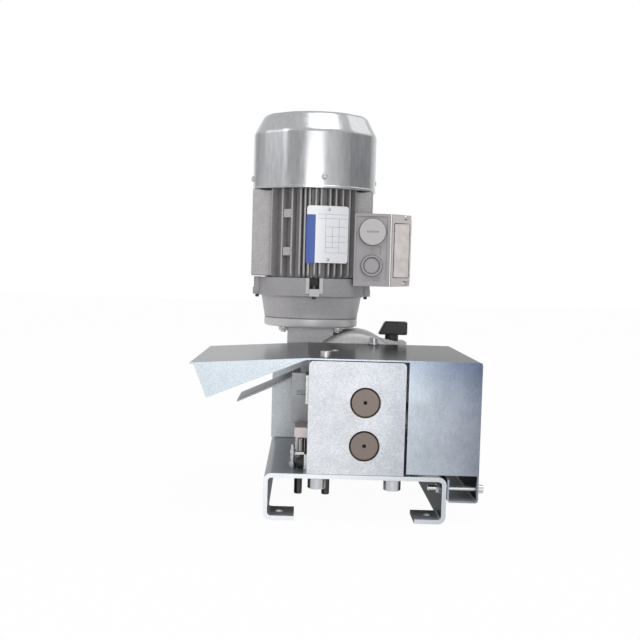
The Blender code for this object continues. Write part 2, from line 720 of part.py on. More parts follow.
LOWER_BLOCK_TOP = PLATE_BOTTOM + LOWER_BLOCK_HEIGHT
LOCK_Y = CABLE_Y - 10 * MM
LOCK_Z = PLATE_BOTTOM + 0.8 * SCREW_M6 + 2 * GAP
LOCK_LENGTH = 14 * MM
lower_block = box_mesh((INNER_LEFT, INNER_FRONT, PLATE_BOTTOM), (INNER_RIGHT, INNER_BACK, LOWER_BLOCK_TOP))
tongue = box_mesh(
    (INNER_LEFT - TONGUE_LENGTH, CABLE_Y - TONGUE_WIDTH / 2, LOWER_BLOCK_TOP - TONGUE_THICK),
    (INNER_LEFT + TONGUE_THICK, CABLE_Y + TONGUE_WIDTH / 2, LOWER_BLOCK_TOP),
)
stud_hole = SCREW_M6 / 2 + SCREW_CLEARANCE
stud_axis = (STUD_X, CABLE_Y, 0)
lock_axis = (0, LOCK_Y, LOCK_Z)
block_cuts = merged([
    rod_mesh(stud_hole, LOWER_BLOCK_TOP - 2 * TONGUE_THICK, LOWER_BLOCK_TOP + MM, "Z", stud_axis),
    rod_mesh(stud_hole, INNER_LEFT - MM, INNER_LEFT + LOCK_LENGTH + GAP, "X", lock_axis),
    rod_mesh(PIN_DIAMETER / 2 + GAP, BASE_TOP - MM, PIN_TOP + MM, "Z", (*PIN_PLACES[1], 0), BEARING_SIDES),
])
piece("lower_block", lower_block, TOOL_STEEL, add=[tongue], cut=[block_cuts], smooth=False)
lock_screw = socket_screw(SCREW_M6, INNER_LEFT - GAP, LOCK_LENGTH, "X", lock_axis)
piece("lock_screw", lock_screw, BLACK)

# Blade holder: it slides up between the plates when the knurled nut is turned
HOLDER_SLIDE = pivot("holder_slide", (STUD_X, CABLE_Y, HOLDER_BOTTOM))
NUT_TURN = pivot("nut_turn", (STUD_X, CABLE_Y, LOWER_BLOCK_TOP))
HOLDER_TOP = HOLDER_BOTTOM + HOLDER_THICK
BLADE_FOOT = HOLDER_TOP - BLADE_SUNK
holder = box_mesh((HOLDER_LEFT, INNER_FRONT, HOLDER_BOTTOM), (INNER_RIGHT, INNER_BACK, HOLDER_TOP))
STUD_IN_HOLDER = 6 * MM
stud_bore = rod_mesh(stud_hole, HOLDER_BOTTOM - MM, HOLDER_BOTTOM + STUD_IN_HOLDER + MM, "Z", stud_axis)
blade_slot = box_mesh(
    (BLADE_X - BLADE_LENGTH / 2 - GAP, CABLE_Y - BLADE_THICK / 2 - GAP, BLADE_FOOT - GAP),
    (BLADE_X + BLADE_LENGTH / 2 + GAP, CABLE_Y + BLADE_THICK / 2 + GAP, HOLDER_TOP + BLADE_SUNK),
)
piece("blade_holder", holder, ZINC, HOLDER_SLIDE, cut=[stud_bore, blade_slot], smooth=False)
edge = [
    (BLADE_X - BLADE_LENGTH / 2, BLADE_FOOT),
    (BLADE_X + BLADE_LENGTH / 2, BLADE_FOOT),
    (BLADE_X + BLADE_LENGTH / 2, BLADE_FOOT + BLADE_BACK_HEIGHT),
    (BLADE_X - BLADE_LENGTH / 2, BLADE_FOOT + BLADE_HEIGHT),
]
blade = prism_mesh(edge, CABLE_Y - BLADE_THICK / 2, CABLE_Y + BLADE_THICK / 2)
piece("blade", blade, TOOL_STEEL, HOLDER_SLIDE, smooth=False)
STUD_LOW = PLATE_BOTTOM + 3 * MM
depth_stud = rod_mesh(SCREW_M6 / 2, STUD_LOW, HOLDER_BOTTOM + STUD_IN_HOLDER, "Z", stud_axis)
piece("depth_stud", depth_stud, BRIGHT, HOLDER_SLIDE)

NUT_BOTTOM = LOWER_BLOCK_TOP + GAP
NUT_TOP = HOLDER_BOTTOM - GAP
nut_radius = NUT_DIAMETER / 2
nut_profile = [
    (stud_hole, NUT_BOTTOM),
    (nut_radius, NUT_BOTTOM),
    (nut_radius, NUT_TOP - 3 * MM),
    (nut_radius * 0.9, NUT_TOP - MM),
    (nut_radius * 0.7, NUT_TOP),
    (stud_hole, NUT_TOP),
]


def knurl(row, side):
    """Every second line of the nut's side lies lower."""
    return -RIB_DEPTH if row in (1, 2, 3) and side % 2 else 0


nut = turned_mesh(nut_profile, "Z", stud_axis, 2 * NUT_RIBS, knurl, closed=True)
piece("knurled_nut", nut, BRASS, NUT_TURN, smooth=False)

# A stud in the base with three collars, as radii and heights above the base in millimetres
SIDE_STUD_PROFILE = [
    (1.6, -3), (1.6, 0.3), (3.5, 0.3), (3.5, 5.4), (1.6, 5.4), (1.6, 8), (2.0, 8), (2.0, 12), (1.6, 12),
    (1.6, 13), (2.4, 13), (2.4, 17), (1.6, 17), (1.6, 22),
]
side_profile = [(radius * MM, BASE_TOP + height * MM) for radius, height in SIDE_STUD_PROFILE]
side_stud = turned_mesh(side_profile, "Z", (SIDE_STUD_X, SIDE_STUD_Y, 0), SCREW_SIDES)
piece("side_stud", side_stud, BRIGHT)

TIE_X = PLATE_RIGHT - TIE_INSET
TIE_Z = PLATE_TOP - TIE_TOP_DROP
tie_bar = rod_mesh(TIE_BAR / 2, INNER_FRONT, INNER_BACK, "Y", (TIE_X, 0, TIE_Z), BEARING_SIDES)
piece("plate_tie_bar", tie_bar, BRIGHT)

# Rear wall, and the deflector that leads the peeled sheath out under the hood
HOOD_SLOPE = HOOD_DROP / (COVER_BEND_X - HOOD_LEFT)
wall_shape = [
    (BASE_LEFT, PLATE_BOTTOM),
    (BASE_RIGHT, PLATE_BOTTOM),
    (BASE_RIGHT, PLATE_TOP),
    (COVER_BEND_X, PLATE_TOP),
    (BASE_LEFT, PLATE_TOP - HOOD_SLOPE * (COVER_BEND_X - BASE_LEFT)),
]
wall_centre = (0, 0, UPPER_SHAFT_Z)
wall_hole = rod_mesh(WALL_HOLE / 2, WALL_Y - MM, WALL_Y + WALL_THICK + MM, "Y", wall_centre, RING_SIDES)
piece("rear_wall", prism_mesh(wall_shape, WALL_Y, WALL_Y + WALL_THICK), ZINC, cut=[wall_hole])

DEFLECTOR_Y = REAR_PLATE_BACK + GAP
slope = (DEFLECTOR_HIGH - DEFLECTOR_LOW) / (DEFLECTOR_RIGHT - DEFLECTOR_LEFT)
SLOPE_RUN_ON = 8 * MM
slope_end = DEFLECTOR_RIGHT + SLOPE_RUN_ON
sloped = [
    (DEFLECTOR_LEFT, DEFLECTOR_LOW - DEFLECTOR_SHEET),
    (slope_end, DEFLECTOR_LOW + slope * (slope_end - DEFLECTOR_LEFT) - DEFLECTOR_SHEET),
    (slope_end, DEFLECTOR_LOW + slope * (slope_end - DEFLECTOR_LEFT)),
    (DEFLECTOR_LEFT, DEFLECTOR_LOW),
]
deflector = prism_mesh(sloped, DEFLECTOR_Y + GAP, DEFLECTOR_Y + DEFLECTOR_DEPTH)
tab = box_mesh(
    (DEFLECTOR_RIGHT, DEFLECTOR_Y, DEFLECTOR_TAB_BOTTOM),
    (DEFLECTOR_TAB_RIGHT, DEFLECTOR_Y + DEFLECTOR_SHEET, DEFLECTOR_TAB_TOP),
)
piece("sheath_deflector", deflector, ZINC, add=[tab], smooth=False)

# Guard cover: one bent sheet that tips forward about the bolt at its lower right
COVER_HINGE = pivot("cover_hinge", (COVER_RIGHT, HINGE_Y, HINGE_Z))
CORNER_BEND = 2.5 * MM
EAR_BEND = 4 * MM


def cover_outline():
    """The sheet's section: hood, top, right side and the channel that holds the hinge bolt."""
    hood = COVER_TOP - HOOD_DROP
    points = [(HOOD_LEFT, hood), (COVER_BEND_X, COVER_TOP)]
    turns = [
        ((COVER_RIGHT - CORNER_BEND, COVER_TOP - CORNER_BEND), CORNER_BEND, 90),
        ((COVER_RIGHT - EAR_BEND, EAR_BOTTOM + EAR_BEND), EAR_BEND, 0),
        ((EAR_LEFT + EAR_BEND, EAR_BOTTOM + EAR_BEND), EAR_BEND, -90),
    ]
    for centre, radius, start in turns:
        points += arc(centre, radius, start, start - 90, 3)
    points += [(EAR_LEFT, EAR_TOP), (EAR_LEFT + COVER_SHEET, EAR_TOP)]
    for centre, radius, start in reversed(turns):
        points += arc(centre, radius - COVER_SHEET, start - 90, start, 3)
    points += [(COVER_BEND_X, COVER_TOP - COVER_SHEET), (HOOD_LEFT, hood - COVER_SHEET)]
    return points


half_sheet = COVER_SHEET / 2
front_panel = box_mesh(
    (PANEL_LEFT, 0, PANEL_BOTTOM),
    (COVER_RIGHT - half_sheet, COVER_SHEET, COVER_TOP - half_sheet),
)
gusset_shape = [
    (GUSSET_TOP_X, COVER_TOP - half_sheet - HOOD_SLOPE * (COVER_BEND_X - GUSSET_TOP_X)),
    (GUSSET_TIP_X, COVER_TOP - GUSSET_TIP_DROP),
    (COVER_BEND_X, COVER_TOP - COVER_SHEET),
    (COVER_BEND_X, COVER_TOP - half_sheet),
]
gusset = prism_mesh(gusset_shape, 0, COVER_SHEET)
infeed_hole = rod_mesh(INFEED_HOLE / 2, COVER_RIGHT - 3 * MM, COVER_RIGHT + MM, "X", PASSAGE, BORE_SIDES)
hinge_axis = (0, HINGE_Y, HINGE_Z)
bolt_radius = SCREW_M5 / 2 + SCREW_CLEARANCE
bolt_holes = rod_mesh(bolt_radius, BASE_RIGHT, COVER_RIGHT + MM, "X", hinge_axis)
cover = prism_mesh(cover_outline(), 0, COVER_DEPTH)
piece(
    "guard_cover", cover, ZINC, COVER_HINGE,
    add=[front_panel, gusset],
    cut=[infeed_hole, bolt_holes],
    smooth=False,
)
bolt_seat = COVER_RIGHT + GAP
hinge_bolt = socket_screw(SCREW_M5, bolt_seat, bolt_seat - HINGE_END, "X", hinge_axis, sign=-1)
piece("hinge_bolt", hinge_bolt, BRIGHT)
nut_face = BASE_RIGHT - BASE_SHEET - GAP
hinge_nut = hex_nut(SCREW_M5, nut_face - HINGE_NUT, nut_face, "X", hinge_axis)
piece("hinge_nut", hinge_nut, BRIGHT, smooth=False)

# Worm gearbox: a hollow case with a round wheel chamber, an upright worm bore and a lug on the right
WORM_HALF = WORM_CASE / 2
CASE_FRONT = GEARBOX_FRONT + SIDE_COVER_THICK
CHAMBER_BACK = GEARBOX_REAR - 15 * MM
BEARING_WIDTH = 11 * MM
CORE_BORE = 28 * MM
CASE_CORNER = 8 * MM
WHEEL_AXIS = (0, 0, UPPER_SHAFT_Z)
AXIS = (MOTOR_X, MOTOR_Y, 0)
UPPER_SEAT_BOTTOM = UPPER_SHAFT_Z + 30 * MM
LOWER_SEAT_TOP = WORM_CASE_BOTTOM + 19 * MM
WORM_BEARING = 44 * MM
LOWER_BEARING = 32 * MM
CASE_TOP = FLANGE_BOTTOM - GAP
case_mesh = rod_mesh(WHEEL_CASE / 2, CASE_FRONT + GAP, GEARBOX_REAR, "Y", WHEEL_AXIS, LARGE_SIDES)
case_outline = []
for quarter, (across, back) in enumerate(((1, 1), (-1, 1), (-1, -1), (1, -1))):
    reach = WORM_HALF - CASE_CORNER
    corner = (MOTOR_X + across * reach, MOTOR_Y + back * reach)
    case_outline += arc(corner, CASE_CORNER, 90 * quarter, 90 * quarter + 90, 3)
worm_case = prism_mesh(case_outline, WORM_CASE_BOTTOM, CASE_TOP, "Z")
STUD_IN_LUG = 9 * MM
FOOT_THREAD = 12 * MM
CASE_Y0 = MOTOR_Y - WORM_HALF + MM
CASE_Y1 = MOTOR_Y + WORM_HALF - MM
lug_outline = [
    (0, UPPER_SHAFT_Z),
    (0, UPPER_SHAFT_Z + WHEEL_CASE / 2 - 2 * MM),
    (10 * MM, UPPER_SHAFT_Z + WHEEL_CASE / 2 - 2 * MM),
    (GRIP_STUD_X - GRIP_NECK / 2 - MM, LUG_TOP),
    (LUG_RIGHT, LUG_TOP),
    (LUG_RIGHT, LUG_TOP - LUG_HEIGHT),
    (WHEEL_CASE / 2 - 12 * MM, LUG_TOP - 2 * LUG_HEIGHT),
]
lug = prism_mesh(lug_outline, CASE_Y0 + 2 * MM, CASE_Y1 - 2 * MM)
foot_block = box_mesh(
    (FOOT_BLOCK_LEFT, CASE_Y0 + 4 * MM, PLATE_BOTTOM),
    (FOOT_BLOCK_RIGHT, CASE_Y1 - 4 * MM, UPPER_SHAFT_Z - WHEEL_CAVITY / 2),
)
chamber = turned_mesh(
    [
        (WHEEL_CAVITY / 2, GEARBOX_FRONT),
        (WHEEL_CAVITY / 2, CHAMBER_BACK),
        (HUB_BEARING / 2, CHAMBER_BACK),
        (HUB_BEARING / 2, CHAMBER_BACK + BEARING_WIDTH + GAP),
        (HUB / 2 + MM, CHAMBER_BACK + BEARING_WIDTH + GAP),
        (HUB / 2 + MM, GEARBOX_REAR + 5 * MM),
    ],
    "Y", WHEEL_AXIS, BORE_SIDES,
)
worm_bore = turned_mesh(
    [
        (LOWER_BEARING / 2, WORM_CASE_BOTTOM + 7 * MM),
        (LOWER_BEARING / 2, LOWER_SEAT_TOP),
        (CORE_BORE / 2, LOWER_SEAT_TOP),
        (CORE_BORE / 2, UPPER_SEAT_BOTTOM),
        (WORM_BEARING / 2, UPPER_SEAT_BOTTOM),
        (WORM_BEARING / 2, FLANGE_BOTTOM + MM),
    ],
    "Z", AXIS, RING_SIDES,
)
grip_axis = (GRIP_STUD_X, MOTOR_Y, 0)
stud_thread = rod_mesh(SCREW_M8 / 2 + GAP, LUG_TOP - STUD_IN_LUG - MM, LUG_TOP + MM, "Z", grip_axis)
foot_threads = [
    rod_mesh(SCREW_M8 / 2 + GAP, PLATE_BOTTOM - MM, PLATE_BOTTOM + FOOT_THREAD, "Z", (x, y, 0))
    for x, y in M8_PLACES
]
piece(
    "gearbox_housing", case_mesh, CAST,
    add=[worm_case, lug, foot_block],
    cut=[chamber, worm_bore, stud_thread, merged(foot_threads)],
)
cover_ring = [
    (HUB / 2 + MM, GEARBOX_FRONT),
    (SIDE_COVER / 2, GEARBOX_FRONT),
    (SIDE_COVER / 2, CASE_FRONT),
    (WHEEL_CAVITY / 2 - GAP, CASE_FRONT),
    (WHEEL_CAVITY / 2 - GAP, CASE_FRONT + SPIGOT),
    (HUB_BEARING / 2, CASE_FRONT + SPIGOT),
    (HUB_BEARING / 2, CASE_FRONT - SIDE_COVER_THICK / 2),
    (HUB / 2 + MM, CASE_FRONT - SIDE_COVER_THICK / 2),
]
side_cover = turned_mesh(cover_ring, "Y", WHEEL_AXIS, BORE_SIDES, closed=True)
piece("gearbox_side_cover", side_cover, CAST)
WHEEL_BEARINGS = (
    ("front_wheel_bearing", CASE_FRONT - SIDE_COVER_THICK / 2 + GAP),
    ("rear_wheel_bearing", CHAMBER_BACK + GAP),
)
for bearing, start in WHEEL_BEARINGS:
    end = start + BEARING_WIDTH - GAP
    shell = ring_mesh(HUB / 2 + GAP, HUB_BEARING / 2 - GAP, start, end, "Y", WHEEL_AXIS)
    piece(bearing, shell, BRIGHT)

wheel_shape = [
    (HUB / 2, GEARBOX_FRONT + GAP),
    (HUB / 2, MOTOR_Y - WHEEL_WIDTH / 2),
    (WHEEL_OUTER / 2, MOTOR_Y - WHEEL_WIDTH / 2),
    (WHEEL_OUTER / 2, MOTOR_Y + WHEEL_WIDTH / 2),
    (HUB / 2, MOTOR_Y + WHEEL_WIDTH / 2),
    (HUB / 2, GEARBOX_REAR - GAP),
]


def wheel_teeth(row, side):
    """The rim's teeth: every second line of it lies lower."""
    return -WHEEL_TOOTH_DEPTH if row in (2, 3) and side % 2 else 0


wheel = turned_mesh(wheel_shape, "Y", WHEEL_AXIS, 2 * WORM_TEETH, wheel_teeth)
wheel_bore = rod_mesh(SHAFT / 2 + GAP, GEARBOX_FRONT - MM, GEARBOX_REAR + MM, "Y", WHEEL_AXIS, RING_SIDES)
wheel_slot = key_slot(UPPER_SHAFT_Z, WHEEL_KEY_Y, GEARBOX_REAR - WHEEL_KEY_Y, HUB_SLOT_TOP)
piece("worm_wheel", wheel, BRONZE, UPPER_FEED, cut=[wheel_bore, wheel_slot])
piece("worm_wheel_key", key_mesh(UPPER_SHAFT_Z, WHEEL_KEY_Y, WHEEL_KEY_LENGTH), BRIGHT, UPPER_FEED)

# Worm shaft: it stands in the case and takes the motor's shaft in its hollow head
ROTOR_AXIS = pivot("rotor_axis", (MOTOR_X, MOTOR_Y, 0))
WORM_CORE = 15 * MM
WORM_HEAD = 24 * MM
WORM_LOW = UPPER_SHAFT_Z - 24 * MM
WORM_HIGH = UPPER_SHAFT_Z + 24 * MM
WORM_ROWS = 18
WORM_JOURNAL = 8.2 * MM
UPPER_BEARING_WIDTH = 14 * MM
WORM_TOP = FLANGE_BOTTOM - MM
SOCKET_DEPTH = 30 * MM
WORM_SIDES = 12


def thread(row, side):
    """The worm's helical thread: the rows between its ends rise and fall with the turn."""
    if not 2 <= row <= WORM_ROWS + 2:
        return 0
    height = (row - 2) * (WORM_HIGH - WORM_LOW) / WORM_ROWS
    phase = (height / WORM_PITCH - side / WORM_SIDES) % 1
    rise = (WORM_OUTER - WORM_CORE) / 2
    return rise * max(0, min(1, 2 - 4 * abs(phase - 0.5)))


worm_profile = [(WORM_JOURNAL, WORM_CASE_BOTTOM + 8 * MM), (WORM_JOURNAL, WORM_LOW - MM)]
worm_profile += [
    (WORM_CORE / 2, WORM_LOW + (WORM_HIGH - WORM_LOW) * row / WORM_ROWS) for row in range(WORM_ROWS + 1)
]
worm_profile += [
    (WORM_HEAD / 2, WORM_HIGH + 3 * MM),
    (WORM_HEAD / 2, WORM_TOP),
    (MOTOR_SHAFT / 2 + GAP, WORM_TOP),
    (MOTOR_SHAFT / 2 + GAP, WORM_TOP - SOCKET_DEPTH),
]
worm = turned_mesh(worm_profile, "Z", AXIS, WORM_SIDES, thread)
piece("worm_shaft", worm, TOOL_STEEL, ROTOR_AXIS)
WORM_BEARINGS = (
    ("lower", WORM_JOURNAL, LOWER_BEARING, WORM_CASE_BOTTOM + 7 * MM + GAP, LOWER_SEAT_TOP - MM),
    ("upper", WORM_HEAD / 2, WORM_BEARING, UPPER_SEAT_BOTTOM + GAP, UPPER_SEAT_BOTTOM + UPPER_BEARING_WIDTH),
)
for level, inner, outer, start, end in WORM_BEARINGS:
    shell = ring_mesh(inner + GAP, outer / 2 - GAP, start, end, "Z", AXIS, BEARING_SIDES)
    piece(f"{level}_worm_bearing", shell, BRIGHT)

# Motor: flange, end shields, finned stator housing, rotor, fan and cowl on one upright axis
FLANGE_TOP = FLANGE_BOTTOM + FLANGE_THICK
SHIELD_BOTTOM = FLANGE_TOP + GAP
SHIELD_TOP = BODY_BOTTOM - GAP
BEARING_OUT = MOTOR_BEARING / 2
BEARING_HIGH = 11 * MM
DRIVE_SEAT = SHIELD_BOTTOM + 8 * MM
FAN_SEAT = BODY_TOP + 5 * MM
REAR_HUB_TOP = FAN_SEAT + BEARING_HIGH + 4 * MM
FAN_BOTTOM = REAR_HUB_TOP + FAN_CLEARANCE
flange = ring_mesh(WORM_BEARING / 2 - 4 * MM, FLANGE / 2, FLANGE_BOTTOM, FLANGE_TOP, "Z", AXIS, LARGE_SIDES)
piece("input_flange", flange, CAST)
shield_section = [
    (10 * MM, SHIELD_BOTTOM),
    (FLANGE / 2, SHIELD_BOTTOM),
    (FLANGE / 2, SHIELD_BOTTOM + 4 * MM),
    (CONE_TOP / 2, CONE_TOP_Z - MM),
    (SHIELD / 2, CONE_TOP_Z + MM),
    (SHIELD / 2, SHIELD_TOP),
    (BODY_BORE / 2, SHIELD_TOP),
    (BODY_BORE / 2 - 5 * MM, CONE_TOP_Z + 4 * MM),
    (BEARING_OUT + 5 * MM, SHIELD_BOTTOM + 14 * MM),
    (BEARING_OUT + 5 * MM, DRIVE_SEAT + BEARING_HIGH + 2 * MM),
    (BEARING_OUT, DRIVE_SEAT + BEARING_HIGH + 2 * MM),
    (BEARING_OUT, DRIVE_SEAT),
    (10 * MM, DRIVE_SEAT),
]
shield = turned_mesh(shield_section, "Z", AXIS, LARGE_SIDES, closed=True)
LUG_WIDTH = 15 * MM
LUG_IN = SHIELD / 2 - 3 * MM
LUG_OUT = SHIELD / 2 + 6 * MM
lugs = []
for turn in range(4):
    block = box_mesh((LUG_IN, -LUG_WIDTH / 2, CONE_TOP_Z), (LUG_OUT, LUG_WIDTH / 2, BOX_BOTTOM - MM))
    block.transform(Matrix.Translation(AXIS) @ Matrix.Rotation(math.pi / 2 * turn, 4, "Z"))
    lugs.append(block)
piece("drive_end_shield", shield, CAST, add=lugs)


def fin_outline():
    """The housing's section: a round core with upright fins at the front and at the back."""
    core = BODY_CORE / 2
    tip = FIN_TIP / 2
    half = FIN_THICK / 2
    points = []
    for turn in range(0, 360, FIN_STEP):
        middle = math.radians(turn)
        if abs(math.cos(middle) * tip) > FIN_RANGE or turn == OPEN_SLOT:
            points.append((core, middle))
            continue
        root_turn = half / core
        tip_turn = half * 0.8 / tip
        points += [(core, middle - root_turn), (tip, middle - tip_turn), (tip, middle + tip_turn)]
        points.append((core, middle + root_turn))
    return [(MOTOR_X + r * math.cos(a), MOTOR_Y + r * math.sin(a)) for r, a in points]


body = prism_mesh(fin_outline(), BODY_BOTTOM, BODY_TOP, "Z")
pad = box_mesh(
    (MOTOR_X - PAD_REACH, MOTOR_Y - PAD_WIDTH / 2, BODY_BOTTOM + MM),
    (MOTOR_X - PAD_ROOT, MOTOR_Y + PAD_WIDTH / 2, BODY_TOP - MM),
)
PEDESTAL_FACE = BOX_RIGHT - PEDESTAL_TO_LID
PEDESTAL_FRONT = BOX_FRONT + PLUG_DEPTH + PEDESTAL_CLEARANCE
PEDESTAL_BACK = BOX_BACK - PLUG_DEPTH - PEDESTAL_CLEARANCE
pedestal = box_mesh(
    (MOTOR_X + PAD_ROOT, PEDESTAL_FRONT, BODY_BOTTOM + MM),
    (PEDESTAL_FACE, PEDESTAL_BACK, BODY_TOP - MM),
)
stator_bore = rod_mesh(BODY_BORE / 2, BODY_BOTTOM - MM, BODY_TOP + MM, "Z", AXIS, BORE_SIDES)
piece("stator_housing", body, CAST, add=[pad, pedestal], cut=[stator_bore])

WINDING = 14 * MM
core_section = [
    (STATOR_BORE / 2, STACK_BOTTOM),
    (STATOR_BORE / 2 + 4 * MM, STACK_BOTTOM - WINDING),
    (BODY_BORE / 2 - 6 * MM, STACK_BOTTOM - WINDING),
    (BODY_BORE / 2 - GAP, STACK_BOTTOM),
    (BODY_BORE / 2 - GAP, STACK_TOP),
    (BODY_BORE / 2 - 6 * MM, STACK_TOP + WINDING),
    (STATOR_BORE / 2 + 4 * MM, STACK_TOP + WINDING),
    (STATOR_BORE / 2, STACK_TOP),
]
piece("wound_stator_core", turned_mesh(core_section, "Z", AXIS, BORE_SIDES, closed=True), COPPER)

SHAFT_R = MOTOR_SHAFT / 2
BEARING_IN = 8.5 * MM
ROTOR_SHAFT = 11 * MM
rotor_section = [
    (SHAFT_R, WORM_TOP - SOCKET_DEPTH + MM),
    (SHAFT_R, DRIVE_SEAT - 2 * MM),
    (BEARING_IN, DRIVE_SEAT - 2 * MM),
    (BEARING_IN, DRIVE_SEAT + BEARING_HIGH + GAP),
    (ROTOR_SHAFT, DRIVE_SEAT + BEARING_HIGH + GAP),
    (ROTOR_SHAFT, STACK_BOTTOM),
    (ROTOR / 2, STACK_BOTTOM),
    (ROTOR / 2, STACK_TOP),
    (ROTOR_SHAFT, STACK_TOP),
    (ROTOR_SHAFT, FAN_SEAT - GAP),
    (BEARING_IN, FAN_SEAT - GAP),
    (BEARING_IN, FAN_SEAT + BEARING_HIGH),
    (SHAFT_R, FAN_SEAT + BEARING_HIGH),
    (SHAFT_R, FAN_BOTTOM + FAN_HEIGHT + MM),
]
piece("rotor", turned_mesh(rotor_section, "Z", AXIS, BEARING_SIDES), LAMINATION, ROTOR_AXIS)
for bearing, start in (("drive_end_bearing", DRIVE_SEAT + GAP), ("fan_end_bearing", FAN_SEAT)):
    end = start + BEARING_HIGH - GAP
    shell = ring_mesh(BEARING_IN + GAP, BEARING_OUT - GAP, start, end, "Z", AXIS, BEARING_SIDES)
    piece(bearing, shell, BRIGHT)
COWL_RADIUS = COWL / 2
COWL_LUG = 6 * MM
LUG_REACH = COWL_RADIUS - COWL_SHEET - 3 * GAP
rear_section = [
    (10 * MM, REAR_HUB_TOP),
    (BEARING_OUT + 5 * MM, REAR_HUB_TOP),
    (BEARING_OUT + 6 * MM, BODY_TOP + 8 * MM),
    (SHIELD / 2, BODY_TOP + 6 * MM),
    (SHIELD / 2, BODY_TOP + GAP),
    (BEARING_OUT, BODY_TOP + GAP),
    (BEARING_OUT, FAN_SEAT + BEARING_HIGH + GAP),
    (10 * MM, FAN_SEAT + BEARING_HIGH + GAP),
]
rear_section.reverse()
cowl_turns = [math.radians(COWL_SCREW_TURN + 90 * turn) for turn in range(4)]
cowl_lugs = []
for turn in cowl_turns:
    block = box_mesh(
        (SHIELD / 2 - COWL_LUG, -COWL_LUG, BODY_TOP + MM),
        (LUG_REACH, COWL_LUG, COWL_SCREW_Z + COWL_LUG),
    )
    block.transform(Matrix.Translation(AXIS) @ Matrix.Rotation(turn, 4, "Z"))
    cowl_lugs.append(block)
rear_shield = turned_mesh(rear_section, "Z", AXIS, BORE_SIDES, closed=True)
piece("fan_end_shield", rear_shield, CAST, add=cowl_lugs)


def fan_mesh():
    """Straight blades round a hub, as one star that is extruded."""
    half = FAN_BLADE_THICK / 2
    hub = 2 * MOTOR_SHAFT / 2
    tip = FAN / 2 - 2 * MM
    points = []
    for blade_index in range(FAN_BLADES):
        middle = 2 * math.pi * blade_index / FAN_BLADES
        points += [(hub, middle - half / hub), (tip, middle - half / tip)]
        points += [(tip, middle + half / tip), (hub, middle + half / hub)]
    flat = [(MOTOR_X + r * math.cos(a), MOTOR_Y + r * math.sin(a)) for r, a in points]
    return prism_mesh(flat, FAN_BOTTOM + MM, FAN_BOTTOM + FAN_HEIGHT, "Z")


fan_disc = rod_mesh(FAN / 2, FAN_BOTTOM, FAN_BOTTOM + 3 * MM, "Z", AXIS, RING_SIDES)
fan_bore = rod_mesh(SHAFT_R + GAP, FAN_BOTTOM - MM, FAN_BOTTOM + FAN_HEIGHT + MM, "Z", AXIS, BEARING_SIDES)
piece("fan", fan_mesh(), BLACK, ROTOR_AXIS, add=[fan_disc], cut=[fan_bore])

COWL_BOTTOM = BODY_TOP + GAP
cowl_section = [
    (COWL_RADIUS, COWL_BOTTOM),
    (COWL_RADIUS, COWL_SHOULDER),
    (COWL_TOP_DIAMETER / 2, COWL_TOP - MM),
    (COWL_TOP_DIAMETER / 2 - MM, COWL_TOP),
    (COWL_CAP - MM, COWL_TOP),
    (COWL_CAP - MM, COWL_TOP - COWL_SHEET),
    (COWL_TOP_DIAMETER / 2 - 2 * MM, COWL_TOP - COWL_SHEET),
    (COWL_RADIUS - COWL_SHEET, COWL_SHOULDER - MM),
    (COWL_RADIUS - COWL_SHEET, COWL_BOTTOM),
]
cowl_mesh = turned_mesh(cowl_section, "Z", AXIS, LARGE_SIDES, closed=True)
slots = []
for turn in range(COWL_SLOTS):
    slot = box_mesh(
        (SLOT_START, -SLOT_WIDTH / 2, COWL_TOP - 2 * COWL_SHEET),
        (SLOT_END, SLOT_WIDTH / 2, COWL_TOP + COWL_SHEET),
    )
    slot.transform(Matrix.Translation(AXIS) @ Matrix.Rotation(2 * math.pi * turn / COWL_SLOTS, 4, "Z"))
    slots.append(slot)
cowl_cap = rod_mesh(COWL_CAP, COWL_TOP - COWL_SHEET, COWL_TOP, "Z", AXIS, LARGE_SIDES)
piece("fan_cowl", cowl_mesh, COWL_STEEL, add=[cowl_cap], cut=[merged(slots)])

# Terminal box on the motor's right side
box_shell = box_mesh((BOX_LEFT, BOX_FRONT, BOX_BOTTOM), (BOX_RIGHT, BOX_BACK, BOX_TOP))
ROOM_LEFT = PEDESTAL_FACE + BOX_WALL
box_room = box_mesh(
    (ROOM_LEFT, BOX_FRONT + BOX_WALL, BOX_BOTTOM + BOX_WALL),
    (BOX_RIGHT + BOX_WALL, BOX_BACK - BOX_WALL, BOX_TOP - BOX_WALL),
)
motor_room = box_mesh(
    (BOX_LEFT - 10 * MM, PEDESTAL_FRONT - GAP, BOX_BOTTOM - 10 * MM),
    (PEDESTAL_FACE + GAP, PEDESTAL_BACK + GAP, BOX_TOP + 10 * MM),
)
shield_room = rod_mesh(SHIELD / 2 + 3 * GAP, BOX_BOTTOM - MM, BODY_BOTTOM + GAP, "Z", AXIS, LARGE_SIDES)
wire_axis = (0, MOTOR_Y, TERMINAL_BLOCK_Z)
wire_hole = rod_mesh(WIRE_HOLE / 2, PEDESTAL_FACE - MM, ROOM_LEFT + MM, "X", wire_axis)
wall_span = (BOX_FRONT - MM, BOX_FRONT + 2 * BOX_WALL, "Y")
plug_hole = rod_mesh(PLUG_STEM / 2, *wall_span, (PLUG_X, 0, PLUG_Z), RING_SIDES)
knockout_hole = rod_mesh(KNOCKOUT_DIAMETER / 2, *wall_span, (PLUG_X, 0, KNOCKOUT_Z), RING_SIDES)
piece(
    "terminal_box", box_shell, BOX_GREY,
    cut=[box_room, motor_room, shield_room, wire_hole, plug_hole, knockout_hole],
    smooth=False,
)
gasket_mesh = box_mesh((BOX_RIGHT + GAP, BOX_FRONT, BOX_BOTTOM), (BOX_RIGHT + GASKET, BOX_BACK, BOX_TOP))
